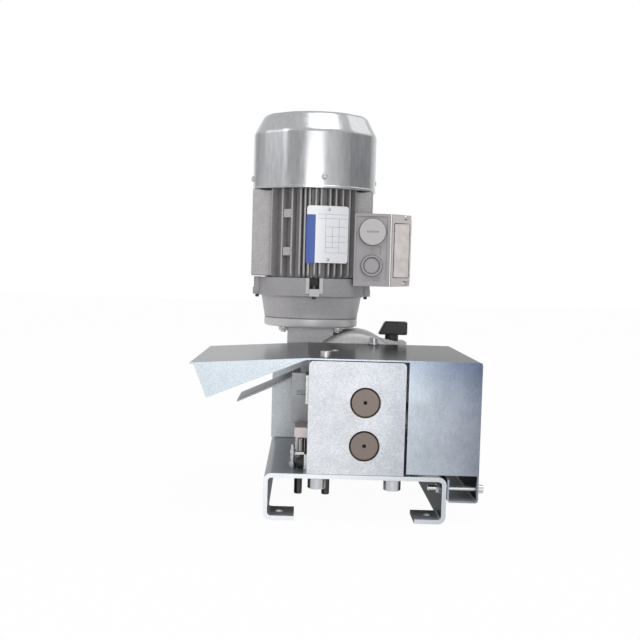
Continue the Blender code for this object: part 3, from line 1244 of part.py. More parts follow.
gasket_room = box_mesh(
    (BOX_RIGHT - MM, BOX_FRONT + BOX_WALL, BOX_BOTTOM + BOX_WALL),
    (BOX_RIGHT + 2 * GASKET, BOX_BACK - BOX_WALL, BOX_TOP - BOX_WALL),
)
piece("terminal_gasket", gasket_mesh, RUBBER, cut=[gasket_room], smooth=False)
LID_LEFT = BOX_RIGHT + GASKET + GAP
LID_RIGHT = LID_LEFT + LID_DEPTH
lid_mesh = box_mesh((LID_LEFT, BOX_FRONT, BOX_BOTTOM), (LID_RIGHT, BOX_BACK, BOX_TOP))
lid_room = box_mesh(
    (LID_LEFT - MM, BOX_FRONT + BOX_WALL, BOX_BOTTOM + BOX_WALL),
    (LID_RIGHT - 3 * MM, BOX_BACK - BOX_WALL, BOX_TOP - BOX_WALL),
)
NOTCH = 7 * MM
notches = [
    box_mesh((LID_LEFT + 8 * MM, y - NOTCH, z - NOTCH), (LID_RIGHT + MM, y + NOTCH, z + NOTCH))
    for y in (BOX_FRONT, BOX_BACK)
    for z in (BOX_BOTTOM, BOX_TOP)
]
piece("terminal_lid", lid_mesh, LID_BEIGE, cut=[lid_room, merged(notches)], smooth=False)
terminal_block = box_mesh(
    (ROOM_LEFT + GAP, MOTOR_Y - TERMINAL_BLOCK_WIDTH / 2, TERMINAL_BLOCK_Z - TERMINAL_BLOCK_HEIGHT / 2),
    (BOX_RIGHT - GASKET, MOTOR_Y + TERMINAL_BLOCK_WIDTH / 2, TERMINAL_BLOCK_Z + TERMINAL_BLOCK_HEIGHT / 2),
)
piece("terminal_block", terminal_block, BLACK, smooth=False)


def plug_mesh(radius, stem, x, z, depth, proud):
    """A round plug in the box's front wall: a flat head and a stem through the wall."""
    profile = [
        (radius - MM, BOX_FRONT - GAP - proud),
        (radius, BOX_FRONT - GAP - proud + MM),
        (radius, BOX_FRONT - GAP),
        (stem, BOX_FRONT - GAP),
        (stem, BOX_FRONT + depth),
    ]
    return turned_mesh(profile, "Y", (x, 0, z), RING_SIDES)


KNOCKOUT_RIM = 2.5 * MM
blanking = plug_mesh(PLUG_DIAMETER / 2, PLUG_STEM / 2 - GAP, PLUG_X, PLUG_Z, PLUG_DEPTH, 3 * MM)
piece("blanking_plug", blanking, BOX_GREY)
knockout_radius = KNOCKOUT_DIAMETER / 2
knockout_head = knockout_radius + KNOCKOUT_RIM
knockout = plug_mesh(knockout_head, knockout_radius - GAP, PLUG_X, KNOCKOUT_Z, 5 * MM, 1.5 * MM)
piece("knockout_plug", knockout, BOX_GREY)

# Bare nameplate, bent round the fins
plate_inner = FIN_TIP / 2 + GAP
plate_outer = plate_inner + NAMEPLATE_THICK
half_turn = NAMEPLATE_WIDTH / 2
plate_start = NAMEPLATE_TURN - half_turn
plate_end = NAMEPLATE_TURN + half_turn
plate_section = arc((MOTOR_X, MOTOR_Y), plate_inner, plate_start, plate_end, 8)
plate_section += arc((MOTOR_X, MOTOR_Y), plate_outer, plate_end, plate_start, 8)
plate_low = NAMEPLATE_Z - NAMEPLATE_HEIGHT / 2
piece("nameplate", prism_mesh(plate_section, plate_low, plate_low + NAMEPLATE_HEIGHT, "Z"), PLATE_WHITE)

# Black clamping grip on its stud in the gearbox's lug
GRIP_TURN = pivot("grip_turn", (GRIP_STUD_X, MOTOR_Y, GRIP_BOTTOM))
grip_shape = [
    (GRIP_LEFT, GRIP_BOTTOM),
    (GRIP_RIGHT, GRIP_BOTTOM),
    (GRIP_RIGHT, GRIP_TOP - 2 * MM),
    (GRIP_RIGHT - 2 * MM, GRIP_TOP),
    (GRIP_TOP_LEFT + 2 * MM, GRIP_TOP),
    (GRIP_TOP_LEFT - MM, GRIP_TOP - 2 * MM),
]
grip = prism_mesh(grip_shape, MOTOR_Y - GRIP_WIDTH / 2, MOTOR_Y + GRIP_WIDTH / 2)
STUD_IN_GRIP = 9 * MM
neck = rod_mesh(GRIP_NECK / 2, LUG_TOP + GAP, GRIP_BOTTOM + 4 * MM, "Z", grip_axis, RING_SIDES)
grip_bore = rod_mesh(SCREW_M8 / 2 + GAP, LUG_TOP - MM, GRIP_BOTTOM + STUD_IN_GRIP + MM, "Z", grip_axis)
piece("clamp_grip", grip, BLACK, GRIP_TURN, add=[neck], cut=[grip_bore], smooth=False)
clamp_stud = rod_mesh(SCREW_M8 / 2, LUG_TOP - STUD_IN_LUG, GRIP_BOTTOM + STUD_IN_GRIP, "Z", grip_axis)
piece("clamp_stud", clamp_stud, BRIGHT, GRIP_TURN)


def stand_on_origin():
    """Moves the whole machine so that the middle of its footprint's box lies on the world's origin."""
    bpy.context.view_layer.update()
    graph = bpy.context.evaluated_depsgraph_get()
    corners = []
    for obj in PIECES:
        shown = obj.evaluated_get(graph)
        corners += [shown.matrix_world @ Vector(corner) for corner in shown.bound_box]
    low = [min(corner[axis] for corner in corners) for axis in range(3)]
    high = [max(corner[axis] for corner in corners) for axis in range(3)]
    MACHINE.location = (-(low[0] + high[0]) / 2, -(low[1] + high[1]) / 2, -low[2])
    bpy.context.view_layer.update()
    print("machine moved by", [round(value, 6) for value in MACHINE.location])


stand_on_origin()
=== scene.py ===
"""Looks of a bench wire stripping machine: a motor and worm gearbox drive two feed rollers under a guard."""
import math

import bmesh
import bpy
from mathutils import Euler, Matrix, Vector


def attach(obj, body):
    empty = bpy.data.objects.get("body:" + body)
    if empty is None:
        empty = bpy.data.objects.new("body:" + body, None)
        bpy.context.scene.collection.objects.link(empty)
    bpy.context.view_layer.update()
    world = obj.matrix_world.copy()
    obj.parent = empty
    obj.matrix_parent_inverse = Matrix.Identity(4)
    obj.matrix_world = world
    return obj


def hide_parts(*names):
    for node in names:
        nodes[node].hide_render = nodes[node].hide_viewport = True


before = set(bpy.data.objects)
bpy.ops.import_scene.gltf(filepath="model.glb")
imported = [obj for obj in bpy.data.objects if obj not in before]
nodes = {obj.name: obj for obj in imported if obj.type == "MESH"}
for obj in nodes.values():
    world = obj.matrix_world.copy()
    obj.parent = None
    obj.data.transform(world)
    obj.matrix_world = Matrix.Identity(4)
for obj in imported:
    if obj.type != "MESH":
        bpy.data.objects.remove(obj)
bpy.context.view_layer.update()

# Camera: eye level a little over the guard, in front of the bearing plates and left of the motor, with the
# slight tilt that the photograph was taken with.
eye = Vector((-0.0322, -1.1165, 0.2234))
pan, nod, tilt = 0.003, -0.065, 0.027
bpy.ops.object.select_all(action="DESELECT")
bpy.ops.object.camera_add(location=eye)
camera = bpy.context.object
camera.matrix_world = (
    Matrix.Translation(eye)
    @ Euler((math.pi / 2 + nod, 0, pan)).to_matrix().to_4x4()
    @ Matrix.Rotation(tilt, 4, "Z")
)
camera.data.sensor_width = 36
camera.data.lens = 60.2
camera.data.shift_x = 0.0306
camera.data.shift_y = 0.0334
camera.data.clip_start = 0.05
bpy.context.scene.camera = camera
bpy.context.scene.view_settings.view_transform = "Standard"

# Studio: a white backdrop behind the machine, walls whose grey changes round the room near eye level and
# evens out above it, and four soft boxes whose edges show in the bright metal.


def node(tree, kind, sockets=(), **settings):
    """Adds a shader node. Each of its sockets is given a value, or the output that it is linked to."""
    added = tree.nodes.new("ShaderNode" + kind)
    for setting, value in settings.items():
        setattr(added, setting, value)
    for socket, value in dict(sockets).items():
        if isinstance(value, bpy.types.NodeSocket):
            tree.links.new(value, added.inputs[socket])
        else:
            added.inputs[socket].default_value = value
    return added


world = bpy.data.worlds.new("studio")
bpy.context.scene.world = world
world.use_nodes = True
studio = world.node_tree
studio.nodes.clear()
across, back, up = node(studio, "SeparateXYZ", {0: node(studio, "TexCoord").outputs["Generated"]}).outputs
side = node(studio, "MapRange", {"Value": across, "From Min": -1, "From Max": 1})
walls = node(studio, "ValToRGB", {"Fac": side.outputs[0]})
walls.color_ramp.elements[0].color = (0.52, 0.52, 0.53, 1)
walls.color_ramp.elements[1].color = (0.19, 0.19, 0.20, 1)
for place, grey in ((0.06, 0.52), (0.16, 0.34), (0.36, 0.42), (0.60, 0.78), (0.80, 0.78), (0.92, 0.38)):
    walls.color_ramp.elements.new(place).color = (grey, grey, grey, 1)
rise = node(studio, "MapRange", {"Value": up, "From Min": 0.08, "From Max": 0.30})
even_grey = (0.68, 0.68, 0.68, 1)
evened = node(studio, "Mix", {0: rise.outputs[0], 6: walls.outputs[0], 7: even_grey}, data_type="RGBA")
behind = node(studio, "MapRange", {"Value": back, "From Min": 0.82, "From Max": 0.90})
backed = node(studio, "Mix", {0: behind.outputs[0], 6: evened.outputs[2], 7: (1, 1, 1, 1)}, data_type="RGBA")
surround = node(studio, "Background", {"Color": backed.outputs[2]})
node(studio, "OutputWorld", {"Surface": surround.outputs[0]})

soft_boxes = (
    ("front_box", (-0.03, -2.2, 0.34), (-0.03, 0.0, 0.30), (1.2, 0.56), 6.5),
    ("left_box", (-1.7, -0.5, 1.1), (0.0, 0.0, 0.2), (0.9, 0.9), 5),
    ("top_box", (0.3, -0.6, 1.9), (0.0, 0.0, 0.2), (1.2, 1.0), 9),
    ("right_box", (1.35, 0.8, 1.45), (0.0, 0.0, 0.3), (0.9, 0.9), 1.6),
)
for name, place, aim, (wide, high), power in soft_boxes:
    bpy.ops.object.light_add(type="AREA", location=place)
    lamp = bpy.context.object
    lamp.name = name
    lamp.rotation_euler = (Vector(aim) - Vector(place)).to_track_quat("-Z", "Y").to_euler()
    lamp.data.shape = "RECTANGLE"
    lamp.data.size = wide
    lamp.data.size_y = high
    lamp.data.energy = power

# Floor: a plain pale bench top that keeps a faint shadow of the machine. Its glow is what the camera, metal
# and glass see of it, and stays out of the light on the machine.
bpy.ops.mesh.primitive_plane_add(size=14, location=(0, 0, -0.0002))
floor = bpy.context.object
floor.name = "bench_top"
bpy.ops.object.transform_apply(location=True, rotation=True, scale=True)
bench = bpy.data.materials.new("pale_bench")
bench.use_nodes = True
tree = bench.node_tree
tree.nodes.clear()
matt = node(tree, "BsdfDiffuse", {"Color": (0.82, 0.82, 0.82, 1)})
glow = node(tree, "Emission", {"Strength": 1.0})
rays = node(tree, "LightPath").outputs
mirrored = node(tree, "Math", {0: rays["Is Camera Ray"], 1: rays["Is Glossy Ray"]}, operation="MAXIMUM")
through = node(tree, "Math", {0: mirrored.outputs[0], 1: rays["Is Transmission Ray"]}, operation="MAXIMUM")
share = node(tree, "Math", {0: through.outputs[0], 1: 0.97}, operation="MULTIPLY")
blended = node(tree, "MixShader", {"Fac": share.outputs[0], 1: matt.outputs[0], 2: glow.outputs[0]})
node(tree, "OutputMaterial", {"Surface": blended.outputs[0]})
floor.data.materials.append(bench)

# Base channel: one 4 mm zinc plated sheet, bent down into two legs that end in inward feet at the front and
# the rear. The holes were punched before it was bent.
SHAFTS_FROM_CENTRE = 24.5
HALF_DEPTH = 166.5
PLATE_SCREWS_ACROSS = (-41.7, 26.7)
PLATE_SCREWS_BACK = (10, 63)
GEARBOX_SCREWS = ((-50, 246), (-50, 282), (40, 246), (40, 282))
WALL_SCREWS_ACROSS = (-69.5, 55)
PINS_ACROSS = (-58.3, -32.6)
SIDE_STUD = (-64, 30)
HINGE = (9, 31.5)


def spot(across, back, up):
    """A point in metres from millimetres right of the shafts, behind the front plate and over the floor."""
    return Vector((across + SHAFTS_FROM_CENTRE, back - HALF_DEPTH, up)) / 1000


def measured(point):
    """The machine's millimetres of a point in metres: what spot does, the other way round."""
    return (point - spot(0, 0, 0)) * 1000


def finish(name, colour, metallic, roughness, grain=0.05, grain_size=900, bump=0.02, bump_size=1400,
           spots=0.0, spot_size=220, streaks=(1, 1, 1), dirt=0.0, rim=1.0):
    """A material whose colour and gloss vary as cast, plated, drawn or moulded surfaces do."""
    made = bpy.data.materials.new(name)
    made.use_nodes = True
    made.diffuse_color = (*colour, 1)
    tree = made.node_tree
    shader = tree.nodes["Principled BSDF"].inputs
    shader["Metallic"].default_value = metallic
    shader["Specular Tint"].default_value = (rim, rim, rim, 1)
    place = node(tree, "TexCoord").outputs["Object"]
    drawn = node(tree, "Mapping", {"Vector": place, "Scale": streaks}).outputs[0]
    noise = node(tree, "TexNoise", {"Vector": drawn, "Scale": grain_size, "Detail": 4}).outputs[0]
    shade = node(tree, "ValToRGB", {"Fac": noise})
    shade.color_ramp.elements[0].position = 0.32
    shade.color_ramp.elements[1].position = 0.68
    shade.color_ramp.elements[0].color = (*[max(0, c * (1 - grain)) for c in colour], 1)
    shade.color_ramp.elements[1].color = (*[min(1, c * (1 + grain)) for c in colour], 1)
    colour_now = shade.outputs[0]
    least, most = max(0.02, roughness - 0.06), min(1, roughness + 0.06)
    gloss = node(tree, "MapRange", {"Value": noise, "To Min": least, "To Max": most})
    tree.links.new(gloss.outputs[0], shader["Roughness"])
    if spots:
        cells = node(tree, "TexVoronoi", {"Vector": place, "Scale": spot_size})
        flake = node(tree, "SeparateColor", {0: cells.outputs["Color"]})
        level = node(tree, "MapRange", {"Value": flake.outputs[0], "To Min": 1 - spots, "To Max": 1 + spots})
        tinted = node(tree, "VectorMath", {0: colour_now, "Scale": level.outputs[0]}, operation="SCALE")
        colour_now = tinted.outputs[0]
    if dirt:
        smudge = node(tree, "TexNoise", {"Vector": place, "Scale": 34, "Detail": 6, "Roughness": 0.7})
        stain = node(tree, "MapRange", {
            "Value": smudge.outputs[0], "From Min": 0.4, "From Max": 0.72, "To Min": 1.0, "To Max": 1 - dirt,
        })
        stained = node(tree, "VectorMath", {0: colour_now, "Scale": stain.outputs[0]}, operation="SCALE")
        colour_now = stained.outputs[0]
    tree.links.new(colour_now, shader["Base Color"])
    if bump:
        fine = node(tree, "TexNoise", {"Vector": drawn, "Scale": bump_size, "Detail": 3})
        relief = node(tree, "Bump", {"Strength": bump, "Distance": 0.001, "Height": fine.outputs[0]})
        tree.links.new(relief.outputs[0], shader["Normal"])
    return made


def tint(material, operation, socket, value):
    """Passes a material's base colour through one more vector node before it reaches the shader."""
    tree = material.node_tree
    base_colour = tree.nodes["Principled BSDF"].inputs["Base Color"]
    before = base_colour.links[0].from_socket
    tinted = node(tree, "VectorMath", {0: before, socket: value}, operation=operation)
    tree.links.new(tinted.outputs[0], base_colour)


def fade(material, start, end, stops):
    """Lets a material's colour change along a line, from stops of (share of the way, strength by colour)."""
    tree = material.node_tree
    start, way = spot(*start), spot(*end) - spot(*start)
    place = node(tree, "TexCoord").outputs["Object"]
    from_start = node(tree, "VectorMath", {0: place, 1: start}, operation="SUBTRACT")
    per_metre = way / way.length_squared
    along = node(tree, "VectorMath", {0: from_start.outputs[0], 1: per_metre}, operation="DOT_PRODUCT")
    ramp = node(tree, "ValToRGB", {"Fac": along.outputs["Value"]})
    ramp.color_ramp.elements[0].color = (*stops[0][1], 1)
    ramp.color_ramp.elements[1].color = (*stops[-1][1], 1)
    for share, strength in stops[1:-1]:
        ramp.color_ramp.elements.new(share).color = (*strength, 1)
    tint(material, "MULTIPLY", 1, ramp.outputs[0])


def keep(piece, name, body, material, replaced=()):
    """Names a finished piece, gives it its material and hangs it on its body."""
    piece.name = name
    piece.data.name = name
    piece.data.materials.clear()
    piece.data.materials.append(material)
    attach(piece, body)
    if replaced:
        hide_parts(*replaced)


def coat_faces(piece, material, chosen):
    """Gives another material to the faces that a test of their normal and their middle chooses."""
    piece.data.materials.append(material)
    for face in piece.data.polygons:
        if chosen(face.normal, measured(face.center)):
            face.material_index = len(piece.data.materials) - 1


def pick(*pieces):
    """Selects these pieces alone and makes the first of them the active one."""
    bpy.ops.object.select_all(action="DESELECT")
    for piece in pieces:
        piece.select_set(True)
    bpy.context.view_layer.objects.active = pieces[0]


def smooth(piece, angle=38, edge=0.0, steps=2):
    """Breaks the sharp edges of a piece and shades its curved faces smoothly."""
    pick(piece)
    if edge:
        bevel = piece.modifiers.new("broken_edges", "BEVEL")
        bevel.width = edge / 1000
        bevel.segments = steps
        bevel.limit_method = "ANGLE"
        bevel.angle_limit = math.radians(50)
        bevel.use_clamp_overlap = True
        bpy.ops.object.modifier_apply(modifier=bevel.name)
    bpy.ops.object.shade_smooth_by_angle(angle=math.radians(angle))
    level = piece.modifiers.new("level_flats", "WEIGHTED_NORMAL")
    level.keep_sharp = True
    bpy.ops.object.modifier_apply(modifier=level.name)
    return piece


def settle(piece):
    """Puts a piece's place, turn and size into its mesh."""
    pick(piece)
    bpy.ops.object.transform_apply(location=True, rotation=True, scale=True)
    return piece


def block(low, high):
    """A box between two corners in the machine's millimetres."""
    low, high = spot(*low), spot(*high)
    bpy.ops.object.select_all(action="DESELECT")
    bpy.ops.mesh.primitive_cube_add(size=1, location=(low + high) / 2)
    piece = bpy.context.object
    piece.scale = high - low
    return settle(piece)


LATHE_TURNS = {"X": (0, math.pi / 2, 0), "Y": (-math.pi / 2, 0, 0), "Z": (0, 0, 0)}


def lathe(centre, profile, axis="Z", sides=64, hollow=False, turn=0, flats=()):
    """A round piece: (radius, distance) steps in millimetres along an axis. A hollow one joins its ends.

    A flat is the middle and half the width, in degrees, of a side that is pressed straight.
    """
    bpy.ops.object.select_all(action="DESELECT")
    radius, height = profile[0]
    fill = "NOTHING" if hollow else "NGON"
    bpy.ops.mesh.primitive_circle_add(vertices=sides, radius=radius / 1000, fill_type=fill)
    piece = bpy.context.object
    for vertex in piece.data.vertices:
        for middle, half in flats:
            off = (math.degrees(math.atan2(vertex.co.y, vertex.co.x)) - middle + 180) % 360 - 180
            if abs(off) < half:
                vertex.co *= math.cos(math.radians(half)) / math.cos(math.radians(off))
    bpy.ops.object.mode_set(mode="EDIT")
    bpy.ops.mesh.select_all(action="SELECT")
    bpy.ops.transform.translate(value=(0, 0, height / 1000))
    for wide, high in profile[1:]:
        bpy.ops.mesh.extrude_region_move(TRANSFORM_OT_translate={"value": (0, 0, (high - height) / 1000)})
        bpy.ops.transform.resize(value=(wide / radius, wide / radius, 1), center_override=(0, 0, 0))
        radius, height = wide, high
    if hollow:
        bpy.ops.mesh.select_all(action="DESELECT")
        bpy.ops.mesh.select_mode(type="EDGE")
        bpy.ops.mesh.select_non_manifold(extend=False)
        bpy.ops.mesh.bridge_edge_loops()
    bpy.ops.mesh.select_all(action="SELECT")
    bpy.ops.mesh.normals_make_consistent(inside=False)
    bpy.ops.mesh.select_mode(type="VERT")
    bpy.ops.object.mode_set(mode="OBJECT")
    piece.matrix_world = (
        Matrix.Translation(spot(*centre)) @ Euler(LATHE_TURNS[axis]).to_matrix().to_4x4()
        @ Matrix.Rotation(turn, 4, "Z")
    )
    return settle(piece)


def hole(centre, diameter, length, axis="Z", sides=32):
    """A round cutter that is centred on a point."""
    return lathe(centre, [(diameter / 2, -length / 2), (diameter / 2, length / 2)], axis, sides)


def shaped(piece, tools, operation="DIFFERENCE"):
    """Cuts the tools out of a piece, or joins them to it, one after another."""
    for tool in tools:
        modifier = piece.modifiers.new("shaped", "BOOLEAN")
        modifier.operation = operation
        modifier.solver = "EXACT"
        modifier.object = tool
        pick(piece)
        bpy.ops.object.modifier_apply(modifier=modifier.name)
        bpy.data.objects.remove(tool, do_unlink=True)
    return piece


def edit(piece, chosen, edges=False):
    """Opens a piece for editing and selects the vertices, or edges, that a test of their points chooses."""
    bpy.ops.object.mode_set(mode="EDIT")
    bpy.ops.mesh.select_all(action="DESELECT")
    mesh = bmesh.from_edit_mesh(piece.data)
    for part in mesh.edges if edges else mesh.verts:
        part.select = chosen(*[measured(vertex.co) for vertex in (part.verts if edges else (part,))])
    if not edges:
        mesh.select_flush(True)
    bmesh.update_edit_mesh(piece.data)


def folded(start, steps, back_steps, depth, thickness, radius):
    """A bent sheet: a strip that is carried on from both ends, its bends rounded and its thickness added."""
    (x0, z0), (x1, z1) = start
    bpy.ops.object.select_all(action="DESELECT")
    low, high = spot(x0, 0, z0), spot(x1, depth, z1)
    bpy.ops.mesh.primitive_plane_add(size=1, location=(low + high) / 2)
    strip = bpy.context.object
    strip.scale = (high.x - low.x, high.y - low.y, 1)
    settle(strip)
    for end, moves in ((x1, steps), (x0, back_steps)):
        bpy.ops.object.mode_set(mode="EDIT")
        bpy.ops.mesh.select_mode(type="VERT")
        edit(strip, lambda point: abs(point.x - end) < 0.001 and abs(point.z - z0) < 0.001)
        bpy.ops.mesh.select_mode(type="EDGE")
        for dx, dz in moves:
            bpy.ops.mesh.extrude_region_move(TRANSFORM_OT_translate={"value": (dx / 1000, 0, dz / 1000)})
        bpy.ops.object.mode_set(mode="OBJECT")
    bpy.ops.object.mode_set(mode="EDIT")
    bpy.ops.mesh.select_all(action="DESELECT")
    bpy.ops.mesh.edges_select_sharp(sharpness=0.3)
    bpy.ops.mesh.bevel(offset=radius / 1000, segments=6, affect="EDGES")
    bpy.ops.mesh.select_all(action="SELECT")
    bpy.ops.mesh.normals_make_consistent(inside=False)
    bpy.ops.object.mode_set(mode="OBJECT")
    wall = strip.modifiers.new("sheet", "SOLIDIFY")
    wall.thickness = thickness / 1000
    wall.offset = -1
    wall.use_even_offset = True
    bpy.ops.object.modifier_apply(modifier=wall.name)
    return strip


zinc = finish("blue_zinc_plate", (0.53, 0.56, 0.59), 0.85, 0.32, grain=0.09, grain_size=620, bump=0.04,
              bump_size=1100, spots=0.06, spot_size=900, dirt=0.15, rim=0.5)
# The sheet's cut edges that face front and back get a lighter copy of the zinc: painted light from the front
# lamps, with painted shade that darkens them towards the right.
lit_cut_edge_zinc = finish("cut_edge_painted_light", (0.78, 0.81, 0.84), 0.75, 0.38, grain=0.05, grain_size=900, bump=0.04)
fade(lit_cut_edge_zinc, (-40, 0, 0), (80, 0, 0), [(0.0, (1.0, 1.0, 1.0)), (1.0, (0.65, 0.66, 0.68))])
# A very dark copy of the zinc for the faces inside the channel and under its top: painted shade, where the
# base shadows its own inside.
shaded_inner_zinc = finish("inner_zinc_painted_shade", (0.085, 0.09, 0.095), 0.8, 0.42, grain=0.08, dirt=0.2, rim=0.3)
# A darker, less glossy copy of the zinc for the feet's upper faces and the cover's low inner faces: painted
# shade from the machine's dark underside above them.
shaded_low_zinc = finish("low_zinc_painted_shade", (0.40, 0.42, 0.45), 0.35, 0.42, grain=0.08, dirt=0.2, rim=0.3)

base = folded(((-89.5, 42.5), (75, 42.5)), [(0, -42.5), (-28, 0)], [(0, -42.5), (28, 0)], 318, 4, 7)
base_cuts = [block((-85.5, 40, -4), (71, 278, 7))]
for across in PLATE_SCREWS_ACROSS:
    base_cuts += [hole((across, back, 40), 10.6, 20) for back in PLATE_SCREWS_BACK]
base_cuts += [hole((across, back, 40), 8.6, 20) for across, back in GEARBOX_SCREWS]
base_cuts += [hole((across, 46, 40), 8.1, 20) for across in PINS_ACROSS]
base_cuts += [hole((across, 212, 40), 4.6, 20) for across in WALL_SCREWS_ACROSS]
base_cuts += [hole((*SIDE_STUD, 40), 3.6, 20), hole((73, *HINGE), 5.6, 12, "X")]
base_cuts += [hole((across, back, 2), 9, 12, sides=48) for across in (-75, 60.5) for back in (20, 298)]
shaped(base, base_cuts)
keep(smooth(base, edge=0.35), "bent_base_channel", "base", zinc, ["base_channel"])
# Painted shade: the faces inside the channel take the very dark copy of the zinc.
coat_faces(base, shaded_inner_zinc, lambda normal, middle: -86 < middle.x < 71.5 and middle.z < 39)
# Painted shade: the feet's upper faces take the darker copy of the zinc.
coat_faces(base, shaded_low_zinc, lambda normal, middle: normal.z > 0.6 and middle.z < 10)
# Painted light: the front and rear cut edges take the lighter copy of the zinc.
coat_faces(base, lit_cut_edge_zinc, lambda normal, middle: abs(normal.y) > 0.6)

# Screws and dowel pins under the base: zinc plated M10 socket screws hold the two bearing plates, M8 screws
# the gearbox, and two dark hardened pins set the blade's guide. Their ends stand out below the sheet.
UNDER_SHEET = 38.2


def socket_cap(centre, size, length, axis="Z", flip=False):
    """A socket screw: a round head with a broken rim and a hexagon socket, and its shank towards the axis."""
    head, key = 0.8 * size, 0.86 * size
    way = -1 if flip else 1
    profile = [
        (head - 0.08 * size, -size), (head, -0.93 * size), (head, -0.03 * size), (head - 0.04 * size, 0),
        (size / 2, 0), (size / 2, length - 0.1 * size), (size / 2 - 0.1 * size, length),
    ]
    screw = lathe(centre, [(radius, way * step) for radius, step in profile], axis, 48)
    deep = [(key / 2, -1.2 * size * way), (key / 2, -0.45 * size * way)]
    return shaped(screw, [lathe(centre, deep, axis, 6)])


def fastener(piece, name, replaced=(), body="base"):
    """Finishes and keeps a bright zinc plated screw, nut, washer or stud."""
    keep(smooth(piece), name, body, bright_steel, replaced)


bright_steel = finish("bright_screw_steel", (0.54, 0.55, 0.57), 1.0, 0.30, grain=0.06, bump=0.02)
dark_steel = finish("dark_hardened_steel", (0.075, 0.07, 0.068), 0.85, 0.36, grain=0.12, bump=0.03)

left, right = PLATE_SCREWS_ACROSS
front, rear = PLATE_SCREWS_BACK
for name, across, back, replaced in (
    ("left_plate_screw_head", left, front, ["left_plate_screw"]),
    ("right_plate_screw_head", right, front, ["right_plate_screw"]),
    ("rear_left_plate_screw", left, rear, ()),
    ("rear_right_plate_screw", right, rear, ()),
):
    fastener(socket_cap((across, back, UNDER_SHEET), 10, 20), name, replaced)
for index, (across, back) in enumerate(GEARBOX_SCREWS):
    fastener(socket_cap((across, back, UNDER_SHEET), 8, 14), f"gearbox_screw_{index}")
for index, across in enumerate(WALL_SCREWS_ACROSS):
    fastener(socket_cap((across, 212, UNDER_SHEET), 4, 12), f"rear_wall_screw_{index}")

for name, across in zip(("left", "right"), PINS_ACROSS):
    pin = lathe((across, 46, 0), [(3.2, 15.5), (3.75, 16.1), (3.75, 47.8), (3.2, 48.5)], sides=40)
    keep(smooth(pin), f"{name}_set_pin", "base", dark_steel, [f"{name}_dowel_pin"])

# Bearing plates: two upright blocks sawn from 20 mm and 14 mm steel, bored together for the feed shafts, zinc
# plated, and screwed to the base from below. The front one has a shallow relief round each shaft.
UPPER_SHAFT, LOWER_SHAFT = 108, 69
ON_BASE, PLATE_TOP = 42.8, 144.5


def round_off(piece, radius, segments, chosen):
    """Rounds those edges of a piece that a test of their two ends chooses."""
    edit(piece, chosen, edges=True)
    bpy.ops.mesh.bevel(offset=radius / 1000, segments=segments, affect="EDGES")
    bpy.ops.object.mode_set(mode="OBJECT")


def bearing_plate(front, back, name, replaced, bores):
    """A plate on its edge with two rounded upper corners, its screw holes and the bores that it is given."""
    plate = block((-51, front, ON_BASE), (36, back, PLATE_TOP))
    round_off(plate, 4, 8, lambda one, other: min(one.z, other.z) > 144 and abs(one.x - other.x) < 0.001)
    screw_holes = [hole((across, (front + back) / 2, 50), 10.6, 25) for across in PLATE_SCREWS_ACROSS]
    shaped(plate, bores + screw_holes)
    keep(smooth(plate, edge=0.4), name, "base", plate_zinc, replaced)


plate_zinc = finish("spangled_zinc_plate", (0.64, 0.66, 0.695), 0.72, 0.42, grain=0.15, grain_size=1000,
                    bump=0.12, bump_size=1300, spots=0.08, spot_size=1050, dirt=0.2)
# Painted shade: the bearing plates grow darker and bluer towards their right side.
fade(plate_zinc, (0, 0, 0), (36, 0, 0), [(0.0, (1.0, 1.0, 1.0)), (1.0, (0.80, 0.82, 0.86))])
bearing_plate(0, 20, "front_plate", ["front_bearing_plate"], [
    lathe((0, 0, up), [(13.8, -5), (13.8, 6), (16, 6), (16, 25)], "Y", 96)
    for up in (UPPER_SHAFT, LOWER_SHAFT)
])
bearing_plate(56, 70, "rear_plate", ["rear_bearing_plate"], [
    hole((0, 63, up), 32, 20, "Y", 96) for up in (UPPER_SHAFT, LOWER_SHAFT)
])
tie_bar = lathe((26, 0, 130.5), [(4.4, 20.4), (5, 21), (5, 55), (4.4, 55.6)], "Y", 40)
fastener(tie_bar, "tie_bar", ["plate_tie_bar"])

# Feed shafts: 25 mm steel bar, faced off and centre drilled at the front, with a hollow-waisted roller in the
# middle whose teeth were hobbed across it. They run in bronze bushes.


def seen_end_on(across, up, sides):
    """How far a lathe's vertex is from its axis, and which of its sides it is on."""
    return math.hypot(across, up), round(math.atan2(up, across) / math.tau * sides)


def scale_points(piece, by, centre, chosen):
    """Scales those vertices of a piece that a test chooses about a point."""
    edit(piece, chosen)
    bpy.ops.transform.resize(value=by, center_override=spot(*centre))
    bpy.ops.object.mode_set(mode="OBJECT")


def feed_shaft(up, end):
    """A feed shaft with its toothed roller, its front end just inside the plate's face."""
    groove, half = 11.0, 19.5
    reach = math.sqrt(groove**2 - (half - 18) ** 2)
    profile = [(0.1, 3.2), (1.6, 1.2), (1.75, 0.55), (12.1, 0.5), (12.5, 0.95), (12.5, 23.8)]
    profile += [(17.4, 23.8), (18, 24.4)]
    for row in range(-8, 9):
        away = reach * math.sin(math.pi / 2 * row / 8)
        profile.append((half - math.sqrt(groove**2 - away**2), 38 + away))
    profile += [(18, 51.6), (17.4, 52.2), (12.5, 52.2), (12.5, end - 0.6), (11.9, end)]

    def between_teeth(point):
        away, side = seen_end_on(point.x, point.z - up, 96)
        return 23.5 < point.y < 52.5 and away > 7.9 and side % 6 in (0, 1, 2)

    shaft = lathe((0, 0, up), profile, "Y", 96)
    scale_points(shaft, (0.93, 1, 0.93), (0, 0, up), between_teeth)
    return smooth(shaft, angle=32)


turned = finish("faced_shaft_steel", (0.19, 0.157, 0.143), 0.9, 0.38, grain=0.14, grain_size=1500, bump=0.05,
                bump_size=2600)
keep(feed_shaft(UPPER_SHAFT, 303), "upper_roller_shaft", "upper_feed", turned,
     ["upper_feed_shaft"])
keep(feed_shaft(LOWER_SHAFT, 95), "lower_roller_shaft", "lower_feed", turned,
     ["lower_feed_shaft"])

